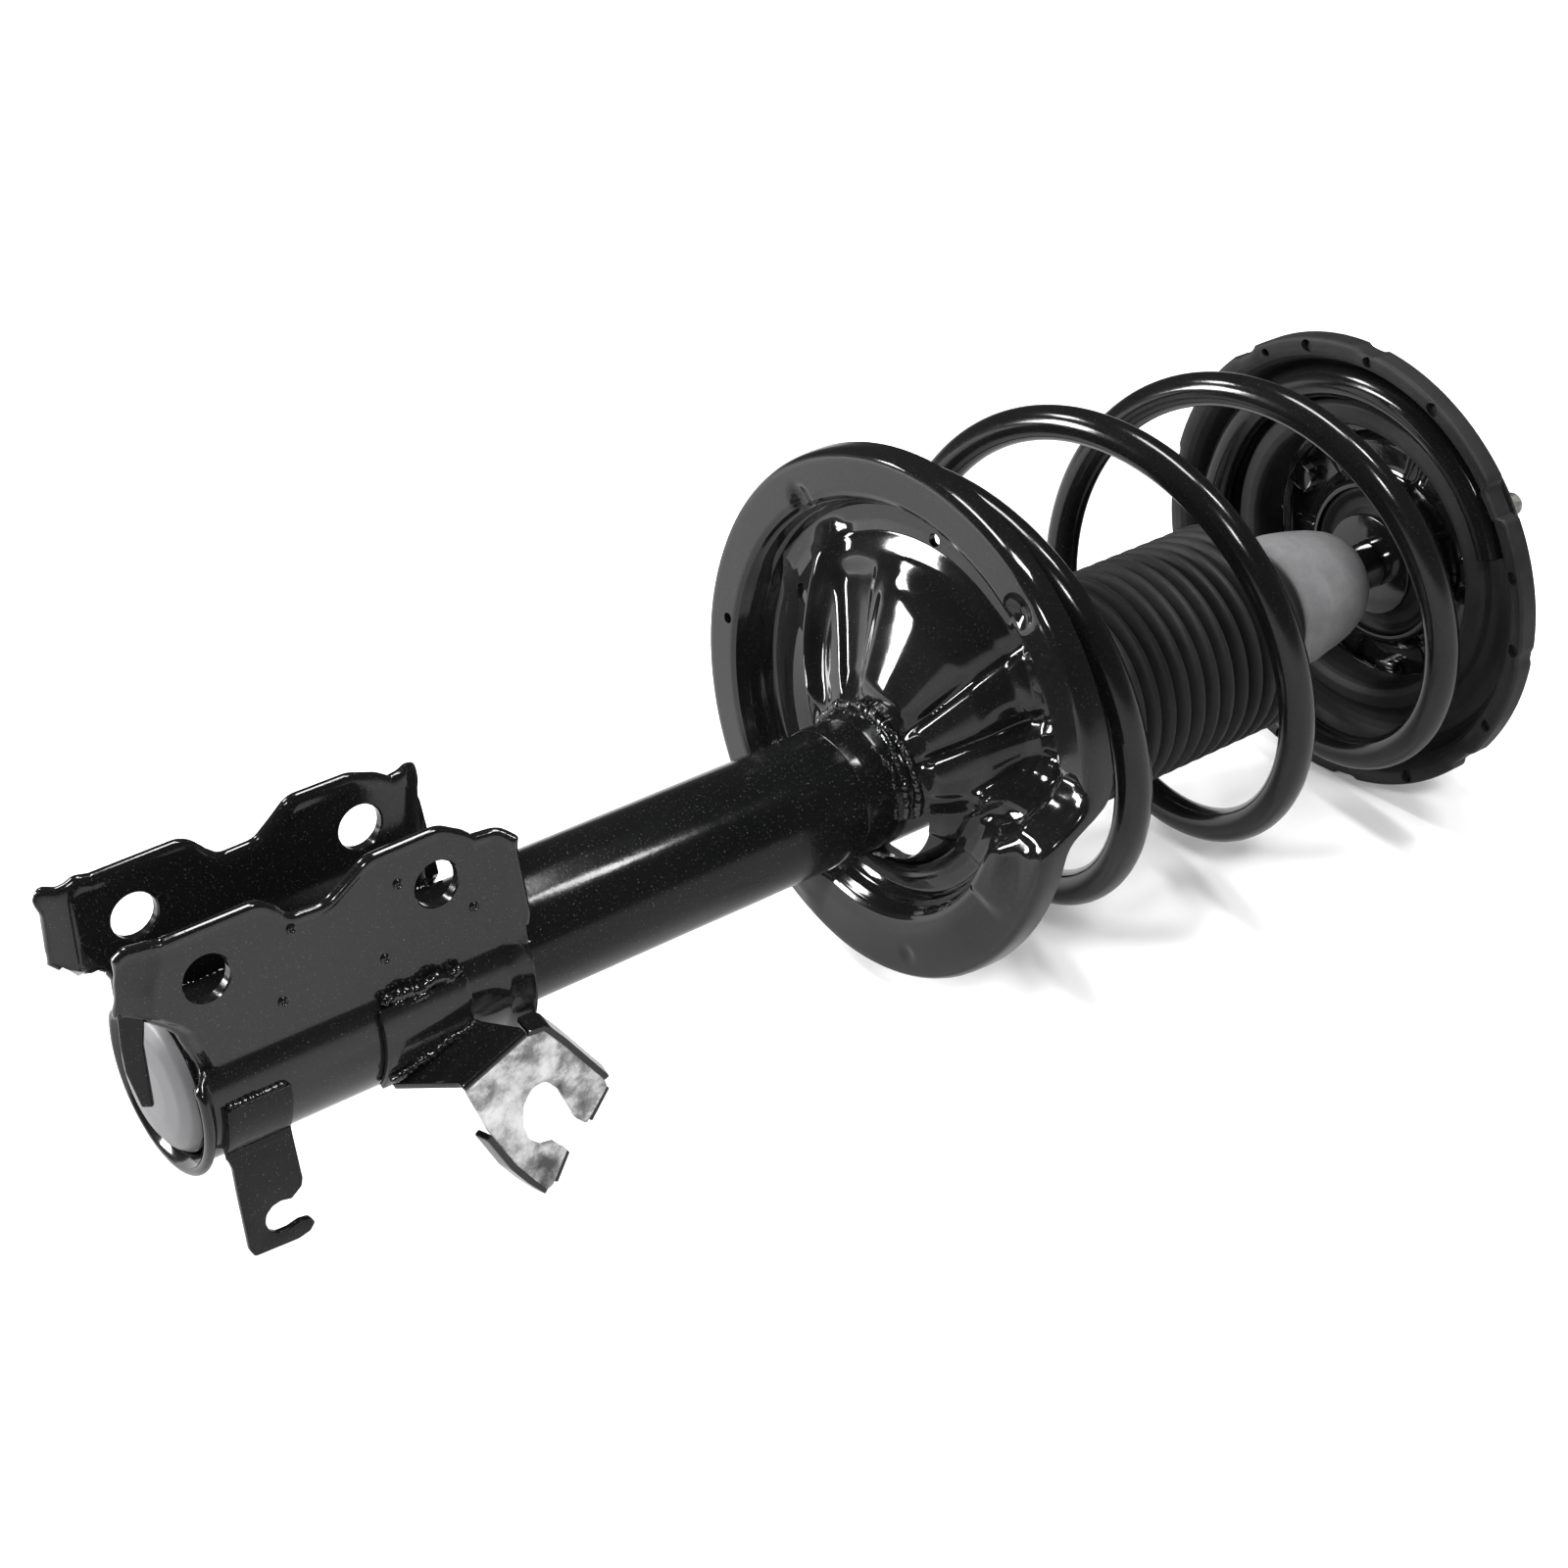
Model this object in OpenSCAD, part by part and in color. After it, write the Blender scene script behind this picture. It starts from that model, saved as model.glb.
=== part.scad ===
// MacPherson strut assembly, complete with coil spring and top mount.
// The strut lies along X: the knuckle bracket is at -X and the top mount at +X.
// The two bracket ears point up (+Z). The origin is on the piston rod's axis, on the
// top mount's bolting face, at the centre of the circle of studs.
// Inside the modules, x is counted from the lower knuckle bolt.

/* [Damper tube] */
// Outside diameter of the outer tube
tube_od = 51; // [48:0.5:51.2]
// Wall of the outer tube
tube_wall = 3; // [2.5:0.1:3.1]
// Piston rod diameter
rod_d = 20; // [18:0.5:20]
// Bore of the inner pressure tube
cylinder_bore = 32; // [30:0.5:32]

/* [Knuckle bracket] */
// Distance between the two knuckle bolts
bolt_spacing = 84.5; // [80:0.5:88]
// Height of the knuckle bolts above the strut's axis
bolt_height = 48.5; // [46:0.5:50]
// Diameter of the knuckle bolt holes
bolt_hole_d = 16.5; // [14.5:0.1:17]
// Thickness of the bracket's plate
plate_t = 4; // [3.5:0.1:4.2]
// Clear gap between the two ears
ear_gap = 43.2; // [42:0.1:43.5]

/* [Spring] */
// Diameter of the spring wire
wire_d = 13.8; // [13:0.1:14]
// Pitch of the free turns
pitch = 84; // [82:0.5:85]
// Mean radius of the lower turns
coil_r = 89.3; // [88:0.1:89.5]

/* [Top mount] */
// Diameter of the circle of studs
stud_pcd = 106; // [104:0.5:108]
// Diameter of the studs
stud_d = 10; // [8:0.5:10]
// Length of the studs above the bolting face
stud_len = 20; // [18:0.5:24]
// Radius of the spring insulator
insulator_r = 98; // [96:0.5:99]

/* [Hidden] */
face_x = 580;
tr = tube_od/2;
ti = tr - tube_wall;
rr = rod_d/2;
cr = cylinder_bore/2;
wr = wire_d/2;
wrap_r = tr + plate_t + 0.5;
gap_h = ear_gap/2;
plate_out = gap_h + plate_t;
$fn = 64;

// ---- helpers ----
// turn a shape of revolution about Z into one about X, starting at x
module onx(x = 0) translate([x, 0, 0]) rotate([0, 90, 0]) children();
// ring between two radii from x1 to x2
module ring(x1, x2, ro, ri) onx(x1) difference() {
  cylinder(r = ro, h = x2 - x1);
  translate([0, 0, -1]) cylinder(r = ri, h = x2 - x1 + 2);
}
// revolve a list of [radius, x] points about the strut's axis
module rev(pts) onx(0) rotate_extrude() polygon(pts);
module place() translate([-face_x, 0, 0]) children();
function lerp(a, b, t) = a + (b - a)*t;
function clamp01(t) = t < 0 ? 0 : t > 1 ? 1 : t;
function smooth(t) = let(u = clamp01(t)) u*u*(3 - 2*u);
// linear look-up in a list of [key, value]
function look(k, tab, i = 0) = k <= tab[0][0] ? tab[0][1] : i >= len(tab) - 1 ? tab[len(tab) - 1][1] :
  k <= tab[i + 1][0] ? lerp(tab[i][1], tab[i + 1][1], (k - tab[i][0])/(tab[i + 1][0] - tab[i][0])) : look(k, tab, i + 1);
// skin of closed rings: rings[i][j], wrapped in j, capped or wrapped in i
function skin_faces(n, m, closed) = concat(
  [for (i = [0:(closed ? n - 1 : n - 2)]) for (j = [0:m - 1]) let(a = i*m + j, b = i*m + (j + 1)%m, c = ((i + 1)%n)*m + (j + 1)%m, d = ((i + 1)%n)*m + j) [a, d, b]],
  [for (i = [0:(closed ? n - 1 : n - 2)]) for (j = [0:m - 1]) let(a = i*m + j, b = i*m + (j + 1)%m, c = ((i + 1)%n)*m + (j + 1)%m, d = ((i + 1)%n)*m + j) [b, d, c]],
  closed ? [] : [[for (j = [0:m - 1]) j], [for (j = [m - 1:-1:0]) (n - 1)*m + j]]);
module skin(rings, closed = false) {
  n = len(rings);
  m = len(rings[0]);
  polyhedron([for (r = rings) for (p = r) p], skin_faces(n, m, closed), convexity = 10);
}

// ---- spring seat and coil geometry ----
// the pan's flat ring climbs round the strut as the spring's dead turn does; a is the angle from +Y towards +Z
ring_tab = [[230, 284], [270, 284], [300, 286], [338, 290.5], [360, 293.5], [384, 297], [430, 302], [458, 305.5], [490, 307.5], [527, 309.5], [535, 309.5], [541, 305], [546, 292], [550, 289], [562, 287.5], [590, 284]];
function ring_x(a) = let(b = a < 230 ? a + 360 : a) look(b, ring_tab);
seat_c = [5, 21];
sheet = 3;
pad_t = 2;
// wire centre along its angle, in degrees: dead turn on the pad, free turns, then the flat turn in the insulator's groove
function free_x(a) = let(u = a/360) 385 + pitch*u + 0.6*u*u*u;
function dead_x(a) = ring_x(a + 720) + sheet + pad_t + wr + 0.15;
top_x = [[620, 532.7], [645, 538.2], [670, 542.7], [690, 545.8], [705, 548.1], [720, 550.1], [735, 551.5], [755, 552.5], [900, 552.5]];
function wire_x(a) = a < -290 ? lerp(dead_x(a), free_x(a), smooth((a + 335)/45)) : a < 620 ? free_x(a) : look(a, top_x);
function wire_r(a) = let(u = min(a, 735)/360) a < 0 ? coil_r - 0.6*clamp01(-u) : a < 700 ? coil_r - 0.26*u - 2.64*u*u : look(a, [[700, 78.8], [735, 77.1], [765, 76.2], [800, 76]]);
function wire_c(a) = let(u = max(-0.6, min(2.05, a/360))) [4.5 - 2.69*u, 17.35 - 4.85*u];
function wire_p(a) = let(c = wire_c(a), r = wire_r(a)) [wire_x(a), c[0] + r*cos(a), c[1] + r*sin(a)];
wire_a0 = -468;
wire_a1 = 880;

// ---- root: the tube and all that is welded to it ----
module outer_tube() color([0.05, 0.05, 0.055]) place() ring(-8, 352, tr, ti);
module end_cap() color([0.2, 0.2, 0.21]) place()
  rev([[0, -16.6], [12, -16.1], [19.5, -14.8], [23.8, -12.2], [tr, -8.02], [ti, -8.02], [21, -10.4], [17.5, -12], [11, -13.2], [0, -13.7]]);

ear_right = [[20, 66.5], [25, 64.5], [30, 59], [35, 56.2], [45, 56.2], [50, 58.5], [57, 64.5], [63, 67], [86, 67], [93, 64.5], [98, 59.5], [103, 58], [108, 57.5], [111, 54], [114, 30], [116, 10]];
near_left = [[-6, 10], [-6.5, 20], [-8.5, 26], [-10.5, 31], [-14, 35.5], [-18, 39], [-21, 41], [-21.4, 30], [-22, 15], [-25, 14], [-25, 63], [-22, 65.5]];
far_left = [[-9, 10], [-9, 28], [-13, 35], [-25, 36.5], [-27.5, 40], [-28, 62], [-25, 66]];
module ear_plate(y0, left) translate([0, y0 + plate_t, 0]) rotate([90, 0, 0]) linear_extrude(plate_t) polygon(concat(left, ear_right));
module flare(s) {
  // outward flange on the right-hand end of each ear
  for (k = [0:2]) translate([0, s > 0 ? plate_out - 1 + k*2.2 : -plate_out - 1.6 - k*2.2, 0])
    rotate([90, 0, 0]) translate([0, 0, -2.6]) linear_extrude(2.6) polygon([[104 + k*2.4, 10], [101.5 + k*2.4, 56], [106 + k*2.4, 57], [109 + k*2.4, 10]]);
}
module knuckle_bracket() color([0.06, 0.06, 0.065]) place() difference() {
  union() {
    ear_plate(-plate_out, near_left);
    ear_plate(gap_h, far_left);
    flare(1);
    flare(-1);
    // the wrap round the tube's underside
    difference() {
      union() {
        ring(-9.5, 112, wrap_r, tr + 0.02);
        ring(-9.5, -6.5, wrap_r + 3.6, tr + 0.02);
        ring(106, 112, wrap_r + 5, tr + 0.02);
      }
      translate([-40, -60, 15.4]) cube([170, 120, 60]);
    }
    // lip turned outward at the free end of the far ear
    translate([-28.5, plate_out - 2.5, 38]) cube([5.5, 3, 25]);
  }
  onx(-40) cylinder(r = tr + 0.02, h = 180);
  for (x = [0, bolt_spacing]) translate([x, 60, bolt_height]) rotate([90, 0, 0]) cylinder(r = bolt_hole_d/2, h = 120);
}

// fork outline in X and Z, with the open slot for the hose fitting
fork = [[71, -11], [97, 0], [104, -3], [112, -14], [128, -36], [129, -39], [119, -50], [115, -46], [112, -39], [109, -31], [104, -25], [98, -25], [94.5, -31], [94, -39], [96, -46], [101, -51], [106, -51.5], [110.5, -57], [103.5, -69], [101, -69.5], [90, -54], [80, -34]];
module hose_bracket() color([0.05, 0.05, 0.055]) place() {
  // pad that lies on the wrap
  difference() {
    ring(56, 90, wrap_r + 3, wrap_r + 0.02);
    translate([40, -20, -60]) cube([70, 90, 120]);
    translate([40, -60, 13]) cube([70, 60, 60]);
    translate([40, -60, -79]) cube([70, 60, 60]);
  }
  // arm from the pad out to the fork's plate
  translate([71, 0, -13]) rotate([0, -23, 0]) linear_extrude(3) polygon([[-12, -28.3], [20, -31.4], [28.6, -50], [0.4, -50]]);
  translate([0, -48.4, 0]) rotate([90, 0, 0]) linear_extrude(3) polygon(fork);
  // stiffening flanges on the fork's two long edges
  translate([0, -42.4, 0]) rotate([90, 0, 0]) linear_extrude(7) polygon([[100, -0.5], [104, -3], [128.6, -37], [126, -38.4], [103, -6.4], [98, -3.2]]);
  translate([0, -43.4, 0]) rotate([90, 0, 0]) linear_extrude(6) polygon([[79.8, -33.4], [101.4, -69.4], [103.6, -68], [82.4, -32.4]]);
}

clip_tab = [[-1.5, -17], [-1.2, -34], [0.2, -58], [1.5, -60.5], [18, -61.5], [22.5, -60.6], [24.6, -58], [23.4, -55.4], [19.5, -54.6], [15, -55.6], [11, -55.4], [8.2, -53.4], [7, -50], [7.6, -46.6], [10.2, -44.2], [13.6, -43.6], [17.4, -44.6], [21.4, -41.6], [22.4, -38.5], [20.2, -17]];
module sensor_clip() color([0.06, 0.06, 0.065]) place() {
  difference() {
    ring(-3, 20.2, wrap_r + 2.5, wrap_r + 0.02);
    translate([-20, -18, -60]) cube([70, 90, 120]);
    translate([-20, -60, 2]) cube([70, 60, 60]);
    translate([-20, -60, -80]) cube([70, 60, 61]);
  }
  translate([0, -25.6, 0]) rotate([90, 0, 0]) linear_extrude(2.5) polygon(clip_tab);
}

// pressed pan: a list of [blend of the centre, radius, x offset, follows the climbing ring]
pan = [[0, 28.6, 286, 0], [0.12, 36, 291, 0], [0.6, 54, 302, 0.15], [1, 68, 11, 1], [1, 78, 11.5, 1], [1, 81.5, 3, 1], [1, 84.5, 0, 1], [1, 98.5, 0, 1], [1, 101, 2, 1], [1, 101.4, 10.5, 1],
       [1, 98.4, 10.5, 1], [1, 98, 3, 1], [1, 85.5, 3, 1], [1, 84, 6, 1], [1, 79.5, 14.5, 1], [1, 66.5, 14.2, 1], [0.6, 53, 305.3, 0.15], [0.12, 34.5, 294.2, 0], [0, tr + 0.1, 290, 0], [0, tr + 0.1, 286, 0]];
function pan_p(k, a) = let(c = k[0]*seat_c, x = k[3] == 1 ? ring_x(a) + k[2] : k[2] + (ring_x(a) - 296)*k[3]*2) [x, c[0] + k[1]*cos(a), c[1] + k[1]*sin(a)];
module lower_spring_seat() color([0.05, 0.05, 0.055]) place() difference() {
  skin([for (a = [0:5:355]) [for (k = pan) pan_p(k, a)]], true);
  drain();
}
// curved gap left open between the pan and the tube
module drain() translate([255, 0, 0]) rotate([0, 90, 0]) linear_extrude(80)
  polygon(concat([for (a = [188:7:244]) 33.6*[-sin(a), cos(a)]], [for (a = [244:-7:188]) 24*[-sin(a), cos(a)]]));
module seat_collar() color([0.06, 0.06, 0.065]) place() difference() {
  rev([[tr + 0.02, 262], [tr + 3, 263], [tr + 3.2, 280], [tr + 5.5, 283.5], [tr + 5, 285.8], [tr + 0.02, 285.8]]);
  drain();
}
pad_prof = [[86.4, 3.15], [96.8, 3.15], [97.3, 6], [96.6, 6.2], [94.5, 5.1], [86.4, 5.1]];
module lower_spring_pad() color([0.1, 0.1, 0.1]) place()
  skin([for (a = [262:5:522]) [for (k = pad_prof) [ring_x(a) + k[1], seat_c[0] + k[0]*cos(a), seat_c[1] + k[0]*sin(a)]]]);

module gland_cap() color([0.3, 0.3, 0.31]) place()
  rev([[tr + 0.02, 340], [tr + 1.4, 340], [tr + 1.4, 354.4], [tr - 0.6, 356], [rr + 2, 356], [rr + 2, 354.2], [tr - 1.2, 354.2], [tr + 0.02, 353]]);
module rod_guide() color([0.55, 0.55, 0.56]) place()
  rev([[rr + 1.6, 328], [cr - 0.02, 328], [cr - 0.02, 334], [cr + 3, 334], [ti - 0.05, 338], [ti - 0.05, 346], [rr + 1.6, 346]]);
module guide_bushing() color([0.6, 0.45, 0.25]) place() ring(329, 345, rr + 1.6, rr + 0.04);
module rod_seal() color([0.08, 0.08, 0.08]) place()
  rev([[rr + 0.03, 347], [rr + 2.2, 346.2], [ti - 0.05, 346.2], [ti - 0.05, 352], [rr + 3, 352], [rr + 2.6, 353.2], [rr + 0.03, 352.4], [rr + 1, 350]]);
module seal_spring() color([0.7, 0.7, 0.7]) place() onx(353.3) rotate_extrude() translate([rr + 3.7, 0]) circle(r = 0.6, $fn = 24);
module pressure_tube() color([0.6, 0.6, 0.62]) place() ring(0, 333.6, cr + 1.5, cr);
module base_valve_body() color([0.55, 0.55, 0.56]) place()
  rev([[3.1, -7], [18, -7], [18, -7.98], [21, -7.98], [21, -0.1], [cr - 0.05, -0.1], [cr - 0.05, 5], [3.1, 5]]);
module base_valve_shims() color([0.7, 0.7, 0.72]) place() { ring(5, 5.6, 11, 3.1); ring(5.6, 6.1, 8, 3.1); ring(-7.6, -7, 12, 3.1); }
module base_valve_rivet() color([0.7, 0.7, 0.72]) place()
  rev([[0, -9.6], [5.4, -9.6], [5.4, -7.6], [3.1, -7.6], [3.1, 6.1], [5.4, 6.1], [5.4, 8], [0, 8.6]]);

module coil_spring() color([0.04, 0.04, 0.045]) place() {
  n = 142;
  sides = 10;
  skin([for (i = [0:n]) let(a = wire_a0 + (wire_a1 - wire_a0)*i/n, p = wire_p(a), q = wire_p(a + 1), o = wire_p(a - 1),
      t = (q - o)/norm(q - o), u0 = [0, cos(a), sin(a)], u = (u0 - (u0*t)*t)/norm(u0 - (u0*t)*t), v = cross(t, u))
    [for (j = [0:sides - 1]) p + wr*(u*cos(j*360/sides) + v*sin(j*360/sides))]]);
}

pleats = 17;
boot_x0 = 344;
boot_x1 = 482;
boot_out = [for (i = [0:pleats*2]) [i%2 == 0 ? 37.5 : 44, lerp(boot_x0, boot_x1, i/(pleats*2))]];
module dust_boot() color([0.07, 0.07, 0.07]) place()
  rev(concat([[tr + 1.7, 328], [tr + 3.4, 328], [tr + 3.4, 338], [33, 341]], boot_out, [[31, 488], [27.5, 493], [27, 500.1], [21.8, 500.1], [21.8, 494]],
    [for (i = [pleats*2:-1:0]) [boot_out[i][0] - 1.8, boot_out[i][1]]], [[30.6, 342.6], [tr + 1.7, 340]]));

// ---- the upper spring seat, which turns with the spring ----
ins_front = [[insulator_r, 543], [insulator_r - 1, 542], [90, 542.3], [87, 545], [86, 549], [85.2, 553], [84, 556], [81.5, 558.8], [79, 560], [76, 560.4], [72.5, 560], [69.5, 558.4], [68.2, 556.2], [66.6, 554.4], [61.5, 553.6], [58.4, 554.6], [57, 558], [56.5, 566]];
module upper_insulator() color([0.07, 0.07, 0.07]) place()
  translate([0, 0, 6]) rev(concat(ins_front, [[56.5, 569], [66, 567.5], [76, 565], [83, 562], [87.8, 557.5], [89.2, 552], [insulator_r, 551]]));
module upper_spring_seat() color([0.05, 0.05, 0.055]) place()
  translate([0, 0, 6]) rev([[56.6, 569.1], [66.1, 567.6], [76.2, 565.1], [83.2, 562.1], [88, 557.6], [89.4, 552.1], [insulator_r - 0.6, 551.1], [insulator_r - 0.6, 553.3], [91.2, 554.2], [89.8, 558.6], [84.6, 563.8], [77, 567], [73.5, 570.9], [56.6, 570.9]]);

// ---- the top mount, rod and piston, which stay with the car's body as the strut turns ----
br = 64.5;
module bearing_lower_race() color([0.6, 0.6, 0.62]) place() translate([0, 0, 0])
  rev([[59.6, 571], [69.6, 571], [69.6, 573], [67, 573], [br, 572], [62, 573], [59.6, 573]]);
module bearing_upper_race() color([0.6, 0.6, 0.62]) place()
  rev([[59.6, 576.7], [69.6, 576.7], [69.6, 575.4], [67, 575.4], [br, 576.1], [62, 575.4], [59.6, 575.4]]);
module bearing_balls() color([0.75, 0.75, 0.77]) place() for (k = [0:15]) rotate([k*22.5, 0, 0]) translate([574.05, br, 0]) sphere(r = 1.85, $fn = 24);
module bearing_cage() color([0.5, 0.45, 0.3]) place() difference() {
  ring(573.5, 574.6, 67.5, 61.5);
  for (k = [0:15]) rotate([k*22.5, 0, 0]) translate([573, br, 0]) rotate([0, 90, 0]) cylinder(r = 2.1, h = 3, $fn = 24);
}
stud_a = 143.5;
module mount_shell() color([0.05, 0.05, 0.055]) place() difference() {
  rev([[33, 566], [36, 566], [37.5, 574], [42, 576.8], [71, 576.8], [73, 578.2], [73, 580], [36.5, 580], [34.8, 582], [34.3, 588], [33, 588]]);
  for (k = [0:2]) rotate([stud_a + k*120, 0, 0]) translate([570, stud_pcd/2, 0]) rotate([0, 90, 0]) cylinder(r = stud_d/2 + 0.65, h = 20);
}
module mount_rubber() color([0.08, 0.08, 0.08]) place()
  rev([[13.05, 568], [20, 567], [32.95, 568.5], [32.95, 586], [22, 588], [13.05, 586.5]]);
module mount_sleeve() color([0.6, 0.6, 0.62]) place() ring(565, 588.5, 13, 7.05);
module mount_studs() color([0.72, 0.7, 0.62]) place() for (k = [0:2]) rotate([stud_a + k*120, 0, 0]) translate([0, stud_pcd/2, 0]) {
  // pressed-in shank, then the thread from the mounting face on
  onx(571.8) cylinder(r = stud_d/2 + 0.6, h = face_x - 571.8);
  onx(face_x - 1) cylinder(r = stud_d/2, h = stud_len - 0.2);
  onx(face_x + stud_len - 1.2) cylinder(r1 = stud_d/2, r2 = stud_d/2 - 1.2, h = 1.2, $fn = 48);
  translate([571.8, -5.4, -5.4]) cube([4.95, 10.8, 10.8]);
}
module lower_washer() color([0.4, 0.4, 0.42]) place() ring(562.4, 565, 22, 7.05);
module upper_washer() color([0.6, 0.6, 0.62]) place() ring(588.5, 591, 22, 7.05);
module rod_nut() color([0.72, 0.7, 0.62]) place() onx(591) difference() {
  cylinder(r = 12.7, h = 11, $fn = 6);
  translate([0, 0, -1]) cylinder(r = 7.02, h = 20);
}
module piston_rod() color([0.75, 0.75, 0.78]) place()
  rev([[0, 272.5], [5.2, 272.5], [6, 273.3], [6, 300], [rr, 300], [rr, 562.4], [7, 562.4], [7, 606], [6, 607], [0, 607]]);
module piston() color([0.55, 0.55, 0.56]) place() difference() {
  ring(283.2, 299, cr - 0.55, 6.02);
  ring(286.2, 296.2, cr + 2, cr - 1.75);
  for (k = [0:5]) rotate([k*60, 0, 0]) translate([280, 10.3, 0]) rotate([0, 90, 0]) cylinder(r = 1.6, h = 25, $fn = 24);
}
module piston_band() color([0.15, 0.25, 0.2]) place() ring(286.25, 296.15, cr - 0.05, cr - 1.74);
module rebound_shims() color([0.7, 0.7, 0.72]) place() { ring(282.5, 283.2, 12.4, 6.02); ring(281.9, 282.5, 10, 6.02); ring(281.4, 281.9, 8.6, 6.02); }
module compression_shims() color([0.7, 0.7, 0.72]) place() { ring(299, 299.5, 12.4, 6.02); ring(299.5, 300, 10, 6.02); }
module piston_nut() color([0.5, 0.5, 0.52]) place() onx(274.5) difference() {
  cylinder(r = 10.4, h = 6.9, $fn = 6);
  translate([0, 0, -1]) cylinder(r = 6.02, h = 10);
}
module rebound_collar() color([0.5, 0.5, 0.52]) place() ring(312, 316, 14.6, rr + 0.02);
module rebound_bumper() color([0.12, 0.12, 0.12]) place()
  rev([[rr + 0.05, 316], [14.4, 316], [14.8, 318], [14.2, 322], [13, 324.6], [rr + 0.05, 324.6]]);
module bump_stop() color([0.42, 0.42, 0.43]) place()
  rev([[rr, 480], [19, 480], [22, 481.5], [23, 485], [23, 489], [21.6, 491.5], [21.6, 500.2], [22.5, 501.2], [27, 501.4], [28.4, 503], [28.4, 511], [27.3, 517], [26.2, 524], [24.6, 531], [22.2, 537.5], [19, 542.5], [15.5, 546], [12.5, 547.6], [rr, 547.8]]);

outer_tube();
end_cap();
knuckle_bracket();
hose_bracket();
sensor_clip();
lower_spring_seat();
seat_collar();
lower_spring_pad();
gland_cap();
rod_guide();
guide_bushing();
rod_seal();
seal_spring();
pressure_tube();
base_valve_body();
base_valve_shims();
base_valve_rivet();
coil_spring();
dust_boot();
upper_spring_seat();
upper_insulator();
bearing_lower_race();
bearing_balls();
bearing_cage();
bearing_upper_race();
mount_shell();
mount_rubber();
mount_sleeve();
mount_studs();
lower_washer();
upper_washer();
rod_nut();
piston_rod();
piston();
piston_band();
rebound_shims();
compression_shims();
piston_nut();
rebound_collar();
rebound_bumper();
bump_stop();
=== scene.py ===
import math
import random

import bmesh
import bpy
import numpy as np
from mathutils import Matrix, Vector


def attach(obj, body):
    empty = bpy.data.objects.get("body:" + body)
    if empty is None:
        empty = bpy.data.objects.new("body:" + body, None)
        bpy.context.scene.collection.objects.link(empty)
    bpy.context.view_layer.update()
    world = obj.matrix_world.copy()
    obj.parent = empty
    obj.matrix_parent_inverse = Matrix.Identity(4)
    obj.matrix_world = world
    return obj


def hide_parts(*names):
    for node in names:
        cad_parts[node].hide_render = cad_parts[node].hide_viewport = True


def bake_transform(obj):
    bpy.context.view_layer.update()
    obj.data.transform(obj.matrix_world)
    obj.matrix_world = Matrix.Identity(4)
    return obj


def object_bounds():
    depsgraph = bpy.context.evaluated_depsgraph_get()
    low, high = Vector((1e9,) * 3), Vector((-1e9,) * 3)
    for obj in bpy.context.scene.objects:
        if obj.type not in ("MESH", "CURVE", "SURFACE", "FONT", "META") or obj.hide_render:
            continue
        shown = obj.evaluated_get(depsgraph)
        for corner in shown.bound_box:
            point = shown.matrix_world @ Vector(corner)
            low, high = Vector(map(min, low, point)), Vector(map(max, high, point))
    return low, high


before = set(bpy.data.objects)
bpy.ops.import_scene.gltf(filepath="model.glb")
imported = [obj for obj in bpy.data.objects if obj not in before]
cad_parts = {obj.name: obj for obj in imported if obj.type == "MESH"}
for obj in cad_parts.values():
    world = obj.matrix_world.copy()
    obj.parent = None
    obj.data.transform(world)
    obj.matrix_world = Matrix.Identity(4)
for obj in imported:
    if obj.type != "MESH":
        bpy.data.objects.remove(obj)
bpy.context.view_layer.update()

random.seed(7)
rng = np.random.default_rng(7)

# Points are written in millimetres, with x counted from the lower knuckle bolt; FX is the mounting face.
FX = 580.0
D = math.radians


def to_m(p):
    p = np.asarray(p, float).reshape(-1, 3)
    return (p - np.array([FX, 0.0, 0.0])) / 1000.0


def smooth(t):
    t = np.clip(t, 0, 1)
    return t * t * (3 - 2 * t)


def bump(t, c, w):
    """1 at c, smoothly 0 beyond c +- w"""
    return smooth(1 - np.abs(np.asarray(t, float) - c) / w)


def adist(a, b):
    return (np.asarray(a, float) - b + 180) % 360 - 180


# ---------------------------------------------------------------- materials

def nodes_of(name):
    m = bpy.data.materials.new(name)
    m.use_nodes = True
    nt = m.node_tree
    return m, nt, nt.nodes, nt.links, nt.nodes["Principled BSDF"]


def coord(nt):
    return nt.nodes.new("ShaderNodeTexCoord").outputs["Object"]


def noise(nt, scale, detail=4.0, rough=0.55, vec=None, dist=0.0):
    n = nt.nodes.new("ShaderNodeTexNoise")
    n.inputs["Scale"].default_value = scale
    n.inputs["Detail"].default_value = detail
    n.inputs["Roughness"].default_value = rough
    n.inputs["Distortion"].default_value = dist
    nt.links.new(vec if vec is not None else coord(nt), n.inputs["Vector"])
    return n.outputs["Fac"]


def ramp(nt, fac, stops):
    r = nt.nodes.new("ShaderNodeValToRGB")
    els = r.color_ramp.elements
    while len(els) < len(stops):
        els.new(0.5)
    for e, (p, c) in zip(els, stops):
        e.position = p
        e.color = (c, c, c, 1) if isinstance(c, (int, float)) else (*c, 1)
    nt.links.new(fac, r.inputs["Fac"])
    return r.outputs["Color"]


def mixc(nt, fac, a, b):
    m = nt.nodes.new("ShaderNodeMix")
    m.data_type = "RGBA"
    for sock, v in (("Factor", fac), ("A", a), ("B", b)):
        s = [i for i in m.inputs if i.name == sock and i.enabled][0]
        if isinstance(v, (int, float)):
            s.default_value = v
        elif isinstance(v, tuple):
            s.default_value = (*v, 1)
        else:
            nt.links.new(v, s)
    return [o for o in m.outputs if o.enabled][0]


def add(nt, a, b, op="ADD"):
    m = nt.nodes.new("ShaderNodeMath")
    m.operation = op
    for i, v in enumerate((a, b)):
        if isinstance(v, (int, float)):
            m.inputs[i].default_value = v
        else:
            nt.links.new(v, m.inputs[i])
    return m.outputs[0]


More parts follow.
